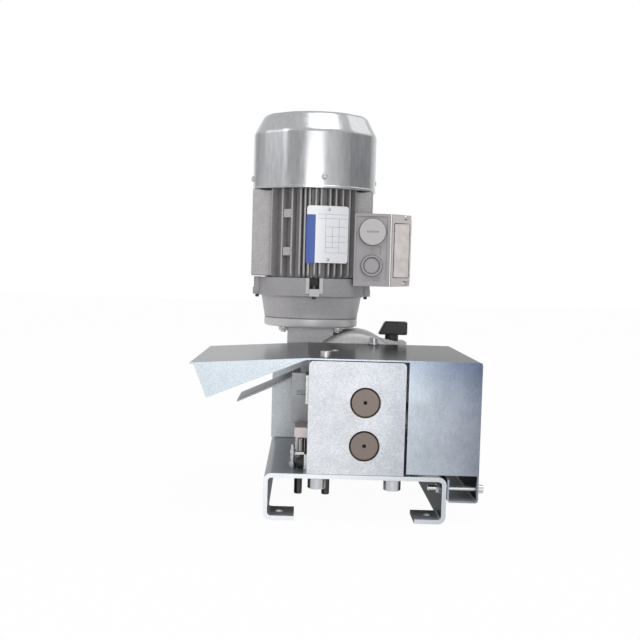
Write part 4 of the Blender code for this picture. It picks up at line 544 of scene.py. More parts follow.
# Infeed guide: a ground steel block between the plates with a round tube that leads in to the rollers, bored
# through and opened out at its mouth.
tool_steel = finish("ground_tool_steel", (0.56, 0.565, 0.57), 1.0, 0.27, grain=0.08, grain_size=900,
                    bump=0.03, streaks=(1, 1, 7))
INFEED = (38, 88.5)
guide = block((22, 20.3, 71.5), (36, 55.7, 105.5))
tube = lathe((0, *INFEED), [(16.7, 22.3), (16.7, 73.1), (15.9, 74.3)], "X", 72)
shaped(guide, [tube], "UNION")
shaped(guide, [lathe((0, *INFEED), [(15.6, 18), (13.5, 24), (13.5, 72), (15.5, 76)], "X", 72)])
keep(smooth(guide, edge=0.3), "infeed_tube", "base", tool_steel, ["infeed_guide"])

# Upper guide block: a ground steel block over the blade, held between the plates, with a slot for the
# blade's edge and two small screws sunk in its outer face.
GUIDE_SCREWS = (("front", 28), ("rear", 48))
upper_guide = block((-53.5, 20.3, 103), (-24, 55.7, 129.5))
screw_seats = [hole((-53.5, back, 122), 6.4, 2.4, "X") for name, back in GUIDE_SCREWS]
shaped(upper_guide, screw_seats + [block((-54.5, 36.4, 101), (-23, 39.6, 104.2))])
keep(smooth(upper_guide, edge=0.5), "upper_cable_guide", "base", tool_steel,
     ["upper_guide_block"])
for name, back in GUIDE_SCREWS:
    screw = lathe((-52.3, back, 122), [(2.8, 0), (2.8, -1.0), (2.3, -1.6)], "X", 32)
    shaped(screw, [lathe((-52.3, back, 122), [(1.45, -2.2), (1.45, -0.6)], "X", 6)])
    fastener(screw, f"{name}_guide_screw")

# Lower block and its tongue: it stands on the base under the blade holder. Its tongue carries the adjusting
# nut, and a black screw locks the depth.
DEPTH_STUD, LOCK = (-56.5, 38), (28, 48.2)
lower = block((-53.5, 20.3, ON_BASE), (-24, 55.7, 56.8))
shaped(lower, [block((-65.5, 32.5, 54.3), (-51, 43.5, 56.8))], "UNION")
shaped(lower, [
    hole((*DEPTH_STUD, 55), 6.6, 8), hole((-32.6, 46, 44), 8.1, 11),
    lathe((0, *LOCK), [(3.3, -55), (3.3, -39)], "X", 32),
])
keep(smooth(lower, edge=0.5), "depth_block", "base", tool_steel, ["lower_block"])
black_plastic = finish("black_moulded_plastic", (0.028, 0.026, 0.026), 0.0, 0.47, grain=0.16, bump=0.05,
                       bump_size=900)
lock = smooth(socket_cap((-53.8, *LOCK), 6, 13.5, "X"))
keep(lock, "black_lock_screw", "base", black_plastic, ["lock_screw"])

# Blade holder, blade and adjusting stud: the holder is a zinc plated block that rides up between the plates
# as the ribbed nut is turned on the threaded stud, and it carries a small ground blade in a slot.


def move_points(piece, by, chosen):
    """Moves those vertices of a piece that a test chooses by millimetres."""
    edit(piece, chosen)
    bpy.ops.transform.translate(value=Vector(by) / 1000)
    bpy.ops.object.mode_set(mode="OBJECT")


holder = block((-63, 20.3, 72), (-24, 55.7, 81.5))
shaped(holder, [
    lathe((*DEPTH_STUD, 0), [(3.3, 71), (3.3, 79)], sides=32),
    block((-47.3, 36.7, 75.2), (-32.7, 39.3, 90)),
    hole((-40, 24, 80.5), 4.4, 4), hole((-40, 52, 80.5), 4.4, 4),
])
warm_zinc = finish("warm_zinc_plate", (0.60, 0.535, 0.525), 0.6, 0.42, grain=0.10, grain_size=900, bump=0.05,
                   dirt=0.08)
keep(smooth(holder, edge=0.6), "rising_blade_holder", "blade_slide", warm_zinc,
     ["blade_holder"])

blade = block((-47, 37, 75.5), (-33, 39, 86.7))
move_points(blade, (0, 0, 4.8), lambda point: point.x < -40 and point.z > 80)
round_off(blade, 0.93, 1, lambda one, other: min(one.z, other.z) > 84 and abs(one.x - other.x) > 5)
honed = finish("honed_blade_steel", (0.66, 0.66, 0.67), 1.0, 0.16, grain=0.05, bump=0.02, streaks=(1, 1, 9))
keep(smooth(blade, angle=20), "sheath_blade", "blade_slide", honed, ["blade"])

thread = [(2.6, 45.8), (3, 46.4)]
for turn in range(30):
    thread += [(3, 46.6 + turn), (2.62, 47.1 + turn)]
thread += [(3, 77.2), (2.7, 77.7)]
stud = lathe((*DEPTH_STUD, 0), thread, sides=32)
fastener(stud, "threaded_depth_stud", ["depth_stud"], body="blade_slide")

# Adjusting nut: a round nickel plated brass nut with a domed top and deep ribs for the fingers. It turns on
# the tongue of the lower block.


def between_ribs(point):
    """Whether a point of the nut lies in a gap between two ribs."""
    away, side = seen_end_on(point.x - DEPTH_STUD[0], point.y - DEPTH_STUD[1], 72)
    return away > 3.6 and side % 6 in (0, 1)


ribbed = lathe((*DEPTH_STUD, 0), [
    (3.3, 57.1), (5.2, 57.1), (5.5, 57.5), (5.5, 67.6), (5.35, 68.8), (4.95, 70.0), (4.3, 71.0), (3.7, 71.7),
    (3.3, 71.7),
], sides=72, hollow=True)
scale_points(ribbed, (0.87, 0.87, 1), (*DEPTH_STUD, 0), between_ribs)
brass = finish("nickel_plated_brass", (0.42, 0.40, 0.395), 1.0, 0.33, grain=0.12, bump=0.03)
keep(smooth(ribbed, angle=30), "ribbed_depth_nut", "depth_nut", brass, ["knurled_nut"])

# Side stud: a thin bright steel stud beside the ribbed nut, with a hexagon nut at its foot and two round
# collars. It is screwed into the base from above.
foot_of_stud = (*SIDE_STUD, 42.5)
small_stud = lathe(foot_of_stud, [(1.6, -3), (1.6, 21.6), (1.2, 22)], sides=32)
shaped(small_stud, [
    lathe(foot_of_stud, [(3.3, 0.3), (3.5, 0.6), (3.5, 5.1), (3.3, 5.4)], sides=6, turn=0.3),
    lathe(foot_of_stud, [(1.8, 8), (2.0, 8.2), (2.0, 11.8), (1.8, 12)], sides=32),
    lathe(foot_of_stud, [(2.2, 13), (2.4, 13.2), (2.4, 16.8), (2.2, 17)], sides=32),
], "UNION")
fastener(small_stud, "collared_stud", ["side_stud"])

# Rear wall: a 6 mm zinc plated plate on its edge that closes the guard's back and lets the upper shaft
# through. It is sawn to the slope of the cover's top and screwed to the base from below.


def cut_off(piece, across, up, normal):
    """Slices away what lies beyond a plane that runs from front to back, and closes the cut."""
    pick(piece)
    bpy.ops.object.mode_set(mode="EDIT")
    bpy.ops.mesh.select_all(action="SELECT")
    bpy.ops.mesh.bisect(plane_co=spot(across, 0, up), plane_no=normal, use_fill=True, clear_outer=True)
    bpy.ops.object.mode_set(mode="OBJECT")


wall = block((-89.5, 209, ON_BASE), (75, 215, PLATE_TOP))
cut_off(wall, -52, PLATE_TOP, (-0.0642, 0, 0.998))
shaped(wall, [
    hole((0, 212, UPPER_SHAFT), 40, 20, "Y", 72),
    *[hole((across, 212, 42), 4.6, 20) for across in WALL_SCREWS_ACROSS],
])
keep(smooth(wall, edge=0.4), "guard_rear_wall", "base", zinc, ["rear_wall"])

# Deflector: a bent 2 mm sheet on the rear plate. Its tab stands on the plate and its slope leads down and out
# under the hood.
slide = block((-119, 70.6, 97.3), (-59, 136.3, 99.3))
move_points(slide, (0, 0, 27.12), lambda point: point.x > -80)
shaped(slide, [block((-67, 70.3, 78), (-30, 72.3, 127))], "UNION")
shaped(slide, [block((-61.5, 66, 106), (-50.5, 76, 109.6))])
# The deflector lies in the hood's shadow: its zinc is a darker copy, painted shade, with real dirt blotches
# in its noise.
shaded_slide_zinc = finish("slide_zinc_painted_shade", (0.34, 0.345, 0.36), 0.85, 0.42, grain=0.12, bump=0.04, dirt=0.2)
keep(smooth(slide, edge=0.4), "sheath_slide", "base", shaded_slide_zinc, ["sheath_deflector"])

# Guard cover: one 1.5 mm sheet, bright zinc plated. It is bent down the right side into a channel that tips
# on the bolt, has a folded front panel with its own hem, and on the left a sloping hood with a folded
# gusset.
FRONT_SCREW, REAR_SCREW = (-36.4, 11), (19.5, 208)
side_bends, hood_bends = [(0, -126.8), (-27.9, 0), (0, 20.7)], [(-106, -6.8)]
cover = folded(((-52, 146.8), (103.7, 146.8)), side_bends, hood_bends, 215, 1.5, 3)
panel = block((38.4, 0, 44.6), (103.2, 1.5, 146.2))
gusset = block((-155, 0, 108), (-52, 1.5, 147))
cut_off(gusset, -52, 146.1, (-0.064, 0, 0.998))
cut_off(gusset, -142.5, 108.8, (-0.929, 0, -0.370))
cut_off(gusset, -142.5, 108.8, (0.380, 0, -0.925))
shaped(cover, [panel, gusset], "UNION")
shaped(cover, [
    hole((103, *INFEED), 40, 8, "X", 72), hole((90, *HINGE), 5.6, 32, "X"),
    hole((*FRONT_SCREW, 146), 6.6, 8), hole((*REAR_SCREW, 146), 6.6, 8),
])
cover_zinc = finish("glossy_zinc_cover", (0.42, 0.435, 0.465), 1.0, 0.19, grain=0.05, grain_size=620,
                    bump=0.008, bump_size=620, dirt=0.06, rim=0.25)
# The cover is one sheet: its hood top, gusset and right side get copies of the same zinc, each toned for how
# light falls on that face, as painted light and shade.
hood_lit_zinc = finish("hood_painted_light_zinc", (0.44, 0.455, 0.49), 0.95, 0.24, grain=0.05, grain_size=620, bump=0.01,
                   spots=0.03, spot_size=900, dirt=0.06, rim=0.6)
panel_shaded_zinc = finish("panel_painted_shade_zinc", (0.48, 0.53, 0.59), 0.9, 0.28, grain=0.03, grain_size=500, bump=0.0,
                    streaks=(1, 1, 0.3), dirt=0.22)
# Painted shade: the front panel darkens from left to right as the light falls off across it.
fade(panel_shaded_zinc, (37, 0, 0), (104, 0, 0), [
    (0.0, (1.0, 1.0, 1.0)), (0.35, (0.84, 0.84, 0.85)), (0.7, (0.66, 0.66, 0.69)), (1.0, (0.46, 0.46, 0.50)),
])
# The panel also grows darker and bluer towards its top right corner.
fade(panel_shaded_zinc, (90, 0, 150), (70, 0, 105), [(0.0, (0.40, 0.46, 0.58)), (1.0, (1.0, 1.0, 1.0))])
gusset_lit_zinc = finish("gusset_painted_light_zinc", (0.54, 0.60, 0.65), 0.8, 0.36, grain=0.14, grain_size=800, bump=0.04,
                     spots=0.05, spot_size=1000, dirt=0.12)
side_lit_zinc = finish("side_painted_light_zinc", (0.46, 0.48, 0.51), 0.9, 0.26, grain=0.05, grain_size=620, bump=0.01,
                   dirt=0.1)
keep(smooth(cover, edge=0.28), "tipping_guard_cover", "guard", cover_zinc,
     ["guard_cover"])
# Painted light and shade: each face of the one sheet takes the copy of the zinc toned for how it is lit.
for material, chosen in (
    (hood_lit_zinc, lambda normal, middle: normal.z > 0.6 and middle.x < -48),
    (panel_shaded_zinc, lambda normal, middle: normal.y < -0.6 and middle.x > 30),
    (side_lit_zinc, lambda normal, middle: normal.x > 0.7 and middle.x > 100),
    (shaded_low_zinc, lambda normal, middle: middle.z < 42.5 and normal.y > -0.6 and middle.x < 102.5),
    (gusset_lit_zinc, lambda normal, middle: normal.y < -0.6 and middle.x < -40),
):
    coat_faces(cover, material, chosen)

# Cover screws: an M6 socket screw at the front and one on a washer at the rear edge, both in the cover's
# top, and a small hollow rivet between them.
fastener(socket_cap((*FRONT_SCREW, 146.9), 6, 5.5, flip=True), "front_cover_screw", body="guard")
fastener(socket_cap((*REAR_SCREW, 148.4), 6, 5, flip=True), "rear_cover_screw", body="guard")
washer = [(3.2, 0), (6.2, 0), (6.4, 0.3), (6.4, 1.2), (6.2, 1.5), (3.2, 1.5)]
fastener(lathe((*REAR_SCREW, 146.9), washer, sides=48, hollow=True), "rear_cover_washer", body="guard")
rivet = [(1.2, 0), (3.6, 0), (3.5, 0.5), (2.6, 1.1), (1.5, 1.2), (1.2, 0.9)]
fastener(lathe((-25.5, 99, 146.7), rivet, sides=40, hollow=True), "cover_top_rivet", body="guard")

# Hinge: an M5 screw through the cover's channel and the base's leg, with two washers and a nut inside the
# leg. All four are zinc plated and stay on the base when the cover tips.
hinge = socket_cap((104.0, *HINGE), 5, 45, "X", flip=True)
fastener(hinge, "hinge_socket_screw", ["hinge_bolt"])
nut = [(2.9, 66.7), (4.3, 66.7), (4.6, 67.1), (4.6, 70.0), (4.3, 70.4), (2.9, 70.4)]
fastener(lathe((0, *HINGE), nut, "X", 6, hollow=True), "hinge_hexagon_nut", ["hinge_nut"])
for name, across in (("inner", 70.45), ("outer", 103.72)):
    disc = [(2.8, across), (4.9, across), (4.9, across + 0.25), (2.8, across + 0.25)]
    fastener(lathe((0, *HINGE), disc, "X", 40, hollow=True), f"{name}_hinge_washer")

# Worm gearbox: a die-cast aluminium case with a round wheel housing, an upright square case for the worm
# and a lug on the right for the grip's stud. Left as cast, with machined faces where the motor and cover
# sit.
MOTOR = (-49.5, 264, 0)
GRIP_STUD = (43, 264)
cast = finish("die_cast_aluminium", (0.53, 0.52, 0.525), 0.4, 0.46, grain=0.10, grain_size=620, bump=0.12,
              bump_size=700, spots=0.05, spot_size=1500, dirt=0.08)
wheel_case = lathe((0, 0, UPPER_SHAFT), [
    (49, 231.3), (50.6, 232.2), (52, 236), (52, 298), (50.8, 302), (47.5, 305),
], "Y", 128)
worm_case = block((-75, 238.5, 56), (-24, 289.5, 162.2))
round_off(worm_case, 8, 8, lambda one, other: abs(one.z - other.z) > 50)
lug = block((0, 241.5, 118), (58, 286.5, 158))
cut_off(lug, 35, 148, (0.0, 0, 1.0))
peak = block((0, 250, 108), (40, 286.5, 158))
cut_off(peak, 10, 158, (0.351, 0, 0.936))
flank = block((0, 241.5, 108), (50, 254, 158))
cut_off(flank, 14.8, 155.0, (0.205, 0, 0.979))
cut_off(lug, 58, 136, (0.513, 0, -0.858))
foot = block((-60, 243.5, ON_BASE), (50, 284.5, 64))
ear = block((-84, 252, 158.4), (-70, 276, 162.4))
shaped(wheel_case, [worm_case, lug, peak, flank, foot, ear], "UNION")
shaped(wheel_case, [
    lathe((0, 0, UPPER_SHAFT), [
        (44, 220), (44, 290), (27.5, 290), (27.5, 301.3), (21, 301.3), (21, 312),
    ], "Y", 96),
    lathe(MOTOR, [(16, 63), (16, 75), (14, 75), (14, 138), (22, 138), (22, 165)], sides=96),
    hole((*GRIP_STUD, 144), 8.6, 12),
    *[hole((across, back, 48), 8.6, 13) for across, back in GEARBOX_SCREWS],
])
keep(smooth(wheel_case, edge=0.8, steps=3), "worm_gear_case", "base", cast,
     ["gearbox_housing"])

# Side cover: a soft-edged round die-cast cover with a bearing seat inside, held by six hexagon screws in a
# ring on its front face.
side_cover = lathe((0, 0, UPPER_SHAFT), [
    (21, 223), (38, 223), (44, 223.8), (47.9, 225.5), (50.2, 228.0), (51, 231), (43.7, 231), (43.7, 239),
    (27.5, 239), (27.5, 227), (21, 227),
], "Y", 128, hollow=True)
keep(smooth(side_cover, angle=50), "wheel_side_cover", "base", cast,
     ["gearbox_side_cover"])
for index in range(6):
    angle = math.radians(60 * index)
    place = (37 * math.cos(angle), 223.1, UPPER_SHAFT + 37 * math.sin(angle))
    screw = lathe(place, [(4.2, 0), (4.5, -0.4), (4.5, -2.4), (4.0, -2.9)], "Y", 6)
    fastener(screw, f"side_cover_screw_{index}")

# Input flange: a machined ring on the worm case, turned from the casting, with four hexagon screws under it
# that hold the motor.


def from_motor(across, back, up):
    """A point in the machine's millimetres from one that is given from the motor's axis."""
    return MOTOR[0] + across, MOTOR[1] + back, up


flange = lathe(MOTOR, [
    (18, 162.5), (48.5, 162.5), (51.6, 163.4), (52.5, 165.4), (52.5, 171.4), (51.9, 172), (18, 172),
], sides=128, hollow=True)
turned_cast = finish("turned_aluminium_rim", (0.60, 0.59, 0.595), 0.5, 0.40, grain=0.08, grain_size=900,
                     bump=0.03, streaks=(1, 1, 6), dirt=0.06)
keep(smooth(flange, edge=0.3), "motor_flange", "base", turned_cast, ["input_flange"])
for index in range(4):
    angle = math.radians(90 * index + 45)
    place = from_motor(42.5 * math.cos(angle), 42.5 * math.sin(angle), 162.4)
    screw = lathe(place, [(4.4, -4.2), (5.0, -3.8), (5.0, -1)], sides=6, turn=angle)
    washer = lathe(place, [(2.5, -5.8), (3, -5.3), (3, -1.2), (5.6, -1.2), (5.6, 0)], sides=40)
    fastener(shaped(screw, [washer], "UNION"), f"flange_screw_{index}")

# Motor's drive-end shield: a die-cast cone between the flange and the stator, with a bearing seat inside and
# four forked lugs for the screws that pull it against the stator.
LUG_TURNS = [90 * index + 2.3 for index in range(4)]


def swing(piece, degrees):
    """Turns a piece round the motor's axis, into its mesh."""
    axis = Matrix.Translation(spot(*MOTOR))
    piece.matrix_world = axis @ Matrix.Rotation(math.radians(degrees), 4, "Z") @ axis.inverted()
    return settle(piece)


def motor_block(low, high, degrees):
    """A box between two corners that are given from the motor's axis, swung round it."""
    return swing(block(from_motor(*low), from_motor(*high)), degrees)


def off_motor(point):
    """How far a point is from the motor's axis."""
    return (point - Vector(MOTOR)).xy.length


shield = lathe(MOTOR, [
    (10, 172.3), (51.6, 172.3), (52.5, 173.2), (52.7, 177.5), (53.4, 180), (56.0, 195.2), (56.6, 196.2),
    (59.5, 196.5), (60.3, 197.3), (60.3, 216.7), (50, 216.7), (45, 201), (22.5, 187), (22.5, 193.5),
    (17.5, 193.5), (17.5, 180.5), (10, 180.5),
], sides=144, hollow=True)
forks = []
for turn in LUG_TURNS:
    for prong in (-7.4, 7.4):
        forks.append(motor_block((57.5, prong - 1.9, 200), (65.2, prong + 1.9, 216.9), turn))
    forks.append(motor_block((57.5, -5.4, 197.2), (66.2, 5.4, 205.1), turn))
shaped(shield, forks, "UNION")
shaped(shield, [motor_block((55, -5.5, 205.1), (67, 5.5, 218), turn) for turn in LUG_TURNS])
# The shield is the same alloy as the other castings: its darker copy is painted shade on the downward-facing
# cone.
shaded_shield_cast = finish("shield_casting_painted_shade", (0.37, 0.36, 0.372), 0.35, 0.46, grain=0.08, grain_size=620,
                     bump=0.08, bump_size=700, dirt=0.07)
# The cone below the ring is made lighter.
fade(shaded_shield_cast, (0, 0, 193), (0, 0, 199), [(0.0, (1.22, 1.22, 1.22)), (1.0, (1.0, 1.0, 1.0))])
keep(smooth(shield, edge=0.5), "lower_end_shield", "base", shaded_shield_cast,
     ["drive_end_shield"])
# A lighter copy of the casting for the forked lugs' outer faces: painted light, so that the lugs stand out
# from the shield.
lit_lug_cast = finish("lug_casting_painted_light", (0.47, 0.46, 0.465), 0.4, 0.44, grain=0.08, bump=0.05)
# A near black for the fork slots, the terminal box's sunk walls, the entries' side walls and the lid's
# trench: painted shade where these recesses fall dark.
painted_recess_shade = finish("painted_shade_in_recesses", (0.07, 0.066, 0.068), 0.0, 0.7, grain=0.2, bump=0.05)
coat_faces(shield, lit_lug_cast, lambda normal, middle: off_motor(middle) > 64.2)
# Painted shade: the slot between each lug's prongs is painted near black.
coat_faces(shield, painted_recess_shade, lambda normal, middle: (
    middle.z > 205 and 53.5 < off_motor(middle) < 60
    and abs(normal.z) < 0.3 and min(map(abs, normal.xy)) < 0.06
))
for index, turn in enumerate(LUG_TURNS):
    angle = math.radians(turn)
    place = from_motor(61.3 * math.cos(angle), 61.3 * math.sin(angle), 197)
    screw = lathe(place, [
        (1.6, -3.0), (2.1, -2.5), (2.1, 0), (2.1, 8.2), (3.4, 8.2), (3.4, 11), (2.9, 11.6),
    ], sides=32)
    keep(smooth(screw), f"shield_screw_{index}", "base", dark_steel)

# Stator housing: a die-cast tube with upright cooling fins at the front and the back, whose lower ends run
# out, a flat foot pad on the left, and a pedestal for the terminal box on the right.
FIN_TURNS = (-47, -32.8, -22.0, -13.2, -8.6, -4.2, 2.0, 7.2, 16.2, 22.5, 30.2, 38.5, 47)
housing = lathe(MOTOR, [(52.6, 217), (52.6, 313), (50, 313), (50, 217)], sides=144, hollow=True)
fins = []
for turn in (*FIN_TURNS, *[180 - turn for turn in FIN_TURNS]):
    fin = block(from_motor(-1.15, -62.5, 217.2), from_motor(1.15, -52, 312.9))
    round_off(fin, 5.5, 5, lambda one, other: max(one.y, other.y) < 204 and max(one.z, other.z) < 220)
    scale_points(fin, (0.74, 1, 1), MOTOR, lambda point: point.y < 204)
    fins.append(swing(fin, turn))
pick(*fins)
bpy.ops.object.join()
pad = smooth(block((-116.5, 227, 218), (-89.5, 301, 312)), edge=1.6, steps=3)
pedestal = smooth(block((-9.5, 227, 218), (15, 301, 312)), edge=1.6, steps=3)
bosses = [motor_block((-4.6, -61.9, up - 4.6), (4.6, -52, up + 4.6), -27.4) for up in (245, 286)]
for boss in bosses:
    smooth(boss, edge=0.7, steps=3)
shaped(housing, [fins[0], pad, pedestal, *bosses], "UNION")
shaped(housing, [lathe(MOTOR, [(50, 210), (50, 320)], sides=144)])
# The housing's casting darkens from the fin tips down to the fin roots: painted shade for the deep gaps
# between the fins, besides real dirt in its noise.
shaded_fin_cast = finish("fin_casting_painted_shade", (0.41, 0.40, 0.402), 0.35, 0.52, grain=0.12, grain_size=620,
                  bump=0.12, bump_size=700, dirt=0.12)
tree = shaded_fin_cast.node_tree
place = node(tree, "TexCoord").outputs["Object"]
from_axis = node(tree, "VectorMath", {0: place, 1: spot(*MOTOR)}, operation="SUBTRACT")
level_only = node(tree, "VectorMath", {0: from_axis.outputs[0], 1: (1, 1, 0)}, operation="MULTIPLY")
distance = node(tree, "VectorMath", {0: level_only.outputs[0]}, operation="LENGTH")
# Painted shade: 0.82 at the fin roots, rising to 1.12 at the fin tips.
fin_root_shade = node(tree, "MapRange", {
    "Value": distance.outputs["Value"], "From Min": 0.0535, "From Max": 0.0622, "To Min": 0.82,
    "To Max": 1.12,
})
tint(shaded_fin_cast, "SCALE", "Scale", fin_root_shade.outputs[0])
# Painted shade: the casting darkens to the right, over the pedestal under the terminal box.
fade(shaded_fin_cast, (-16, 0, 0), (-4, 0, 0), [(0.0, (1.0, 1.0, 1.0)), (1.0, (0.78, 0.78, 0.78))])
keep(smooth(housing, edge=0.35), "finned_stator_housing", "base", shaded_fin_cast,
     ["stator_housing"])

# Fan cowl: pressed from 1.5 mm bright galvanised sheet, round but for four straight flanks, with a drawn
# shoulder, air slots in its top and a rolled lower rim. Four round-headed screws hold it to the rear
# shield.
FLANKS = [(middle, 13.4) for middle in (-131.9, -41.9, 48.1, 138.1)]
cowl = lathe(MOTOR, [
    (69, 313.3), (69, 315.2), (68.5, 316), (68.5, 372.5), (68.2, 374.6), (67.3, 376.8), (59.5, 391.6),
    (58.3, 393.6), (56.2, 395.2), (54, 395.5), (12, 395.5), (12, 394), (54, 394), (56, 393.2),
    (65.9, 376.4), (67, 372.6), (67, 313.3),
], sides=144, hollow=True, flats=FLANKS)
shaped(cowl, [lathe(MOTOR, [(13, 394), (13, 395.5)], sides=96)], "UNION")
shaped(cowl, [motor_block((20, -1.6, 391), (50, 1.6, 397), 20 * index) for index in range(18)])
cowl_sheet = finish("bright_galvanised_cowl", (0.60, 0.61, 0.625), 1.0, 0.25, grain=0.04, grain_size=300,
                    bump=0.004, bump_size=300, streaks=(1, 1, 0.15), spots=0.02, spot_size=700, dirt=0.05)
# Painted highlight: the cowl's lower left is made lighter where the front lamp's highlight spreads.
fade(cowl_sheet, (-110, 0, 318), (-60, 0, 350), [(0.0, (1.12, 1.12, 1.12)), (1.0, (1.0, 1.0, 1.0))])
keep(smooth(cowl, angle=30, edge=0.25), "pressed_fan_cowl", "base", cowl_sheet,
     ["fan_cowl"])
for index, out in enumerate((68.5, 68.5, 67, 68.5)):
    place = from_motor(out, 0, 325)
    screw = lathe(place, [(3.3, 0), (3.3, 0.6), (3.0, 1.5), (2.2, 2.2), (1.0, 2.5)], "X", 40)
    shaped(screw, [
        block(from_motor(out + 1.4, -0.4, 323), from_motor(out + 3, 0.4, 327)),
        block(from_motor(out + 1.4, -2.0, 324.6), from_motor(out + 3, 2.0, 325.4)),
        lathe(place, [(0.45, 1.2), (0.45, 3)], "X", 4),
    ])
    fastener(swing(screw, 90 * index - 81.5), f"cowl_screw_{index}")

# Terminal box: a grey die-cast box on the motor's pedestal, open to the right, with a sunk front panel, a
# blanking plug in its upper entry and a knock-out in its lower one. Inside are the terminal block's room
# and a wire hole.
UPPER_ENTRY, LOWER_ENTRY = (15, 0, 268.6), (15, 0, 232)
SUNK_FROM, SUNK_TO = 219.15, 220.8
grey_box = finish("grey_box_casting", (0.41, 0.395, 0.405), 0.1, 0.52, grain=0.06, bump=0.06, bump_size=900,
                  dirt=0.05)
box = block((-4.6, 219, 209.5), (34, 309, 288.5))
round_off(box, 4.5, 2, lambda one, other: max(one.x, other.x) < 0 and max(one.z, other.z) < 250)
sunk = block((-2.6, 217, 215.2), (31.4, 219.9, 285.6))
shaped(box, [
    block((19, 223, 213.5), (38, 305, 284.5)),
    block((-14, 226.7, 199), (15.3, 301.3, 299)),
    lathe(MOTOR, [(61.2, 200), (61.2, 217.3)], sides=144),
    lathe((0, 264, 251), [(9, 14), (9, 20)], "X", 48),
    smooth(sunk, edge=1.2, steps=3),
    block((14.5, 218, 244.9), (24.7, 220.7, 253.4)), block((17.3, 218, 215.6), (24.8, 220.7, 219.8)),
    lathe(UPPER_ENTRY, [(10.8, 218), (10.8, 227)], "Y", 64),
    lathe(LOWER_ENTRY, [(9.25, 218), (9.25, 227)], "Y", 64),
])
keep(smooth(box, edge=0.6), "terminal_box_body", "base", grey_box, ["terminal_box"])
# Painted shade: the walls of the sunk front panel are painted near black.
coat_faces(box, painted_recess_shade, lambda normal, middle: SUNK_FROM < middle.y < SUNK_TO and abs(normal.y) < 0.5)
plug_grey = finish("pale_grey_moulding", (0.55, 0.535, 0.535), 0.0, 0.48, grain=0.04, bump=0.03,
                   bump_size=900)
plug = lathe(UPPER_ENTRY, [
    (13.2, 215.4), (14.3, 215.6), (14.8, 216.2), (14.8, 219.9), (10.5, 219.9), (10.5, 226),
], "Y", 96)
shaped(plug, [block((8.5, 214, 267.7), (21.5, 216.2, 269.5))])
keep(smooth(plug, edge=0.15), "upper_entry_plug", "base", plug_grey, ["blanking_plug"])
knockout = lathe(LOWER_ENTRY, [
    (7.9, 218.6), (8.3, 219.1), (8.9, 219.1), (9.4, 217.4), (11.3, 217.2), (11.75, 217.6), (11.75, 219.85),
    (9, 219.9), (9, 224),
], "Y", 96)
keep(smooth(knockout), "lower_entry_knockout", "base", grey_box, ["knockout_plug"])
# Painted shade: the side walls of the plug and the knock-out are painted near black, as a dark ring round
# each.
for entry in (plug, knockout):
    coat_faces(entry, painted_recess_shade, lambda normal, middle: abs(normal.y) < 0.75)

# Box gasket and lid: a pale rubber frame, and a beige moulded lid with a sunk face. Four corner screws, which
# stand in notches of the lid, hold both on the box.
rubber = finish("pale_gasket_rubber", (0.90, 0.89, 0.89), 0.0, 0.72, grain=0.10, bump=0.05)
gasket = block((34.3, 219.2, 209.7), (36, 308.8, 288.3))
shaped(gasket, [block((33, 223, 213.5), (38, 305, 284.5))])
keep(smooth(gasket, edge=0.3), "lid_gasket", "base", rubber, ["terminal_gasket"])
beige = finish("beige_lid_moulding", (0.50, 0.465, 0.445), 0.2, 0.40, grain=0.05, bump=0.04, bump_size=800,
               dirt=0.07)
lid = block((36.3, 219, 209.5), (57.3, 309, 288.5))
scale_points(lid, (1, 0.975, 0.975), (57.3, 264, 249), lambda point: point.x > 50)
shaped(lid, [block((35, 223, 213.5), (48.5, 305, 284.5)), block((48, 226.6, 217.6), (54.3, 301.4, 280.4))])
notches = [
    block((49.6, back - 6, up - 6.4), (59, back + 6, up + 6.4))
    for back in (219, 309) for up in (209.5, 288.5)
]
face = smooth(block((38.4, 217, 219.2), (56.0, 220.4, 278.8)), edge=1.0)
far_face = smooth(block((38.6, 308.1, 219.5), (55.6, 311, 278.5)), edge=1.0)
shaped(lid, [*notches, face, far_face])
shaped(lid, [block((39.2, 219.8, 220.0), (55.2, 221.5, 278.0))], "UNION")
keep(smooth(lid, edge=0.4), "beige_box_lid", "base", beige, ["terminal_lid"])
worn_beige = finish("rubbed_beige_face", (0.50, 0.465, 0.445), 0.3, 0.34, grain=0.16, grain_size=110,
                    bump=0.03, dirt=0.2)
TRENCH = 220.1
coat_faces(lid, worn_beige, lambda normal, middle: normal.y < -0.9 and 219.5 < middle.y < TRENCH)
# Painted shade: the trench round the lid's sunk face and its walls are painted near black.
coat_faces(lid, painted_recess_shade, lambda normal, middle: (
    SUNK_FROM < middle.y < SUNK_TO and (abs(normal.y) < 0.5 or middle.y > TRENCH)
    and 218 < middle.z < 280 and middle.x < 56.4
))
for index, (back, up) in enumerate(((222.2, 212.8), (222.2, 285.2), (305.8, 212.8), (305.8, 285.2))):
    screw = lathe((49.7, back, up), [
        (1.9, -9), (1.9, 0), (2.7, 0), (2.7, 1.6), (2.3, 2.4), (1.1, 2.8),
    ], "X", 32)
    shaped(screw, [block((51.6, back - 0.4, up - 3.5), (53.5, back + 0.4, up + 3.5))])
    fastener(screw, f"lid_screw_{index}")

# Nameplate: a bare bright plate bent round the fins, with a plain blue band down its left side and empty
# ruled lines. Two rivets hold it to the bosses on the motor.
PLATE_RADIUS = 63.2


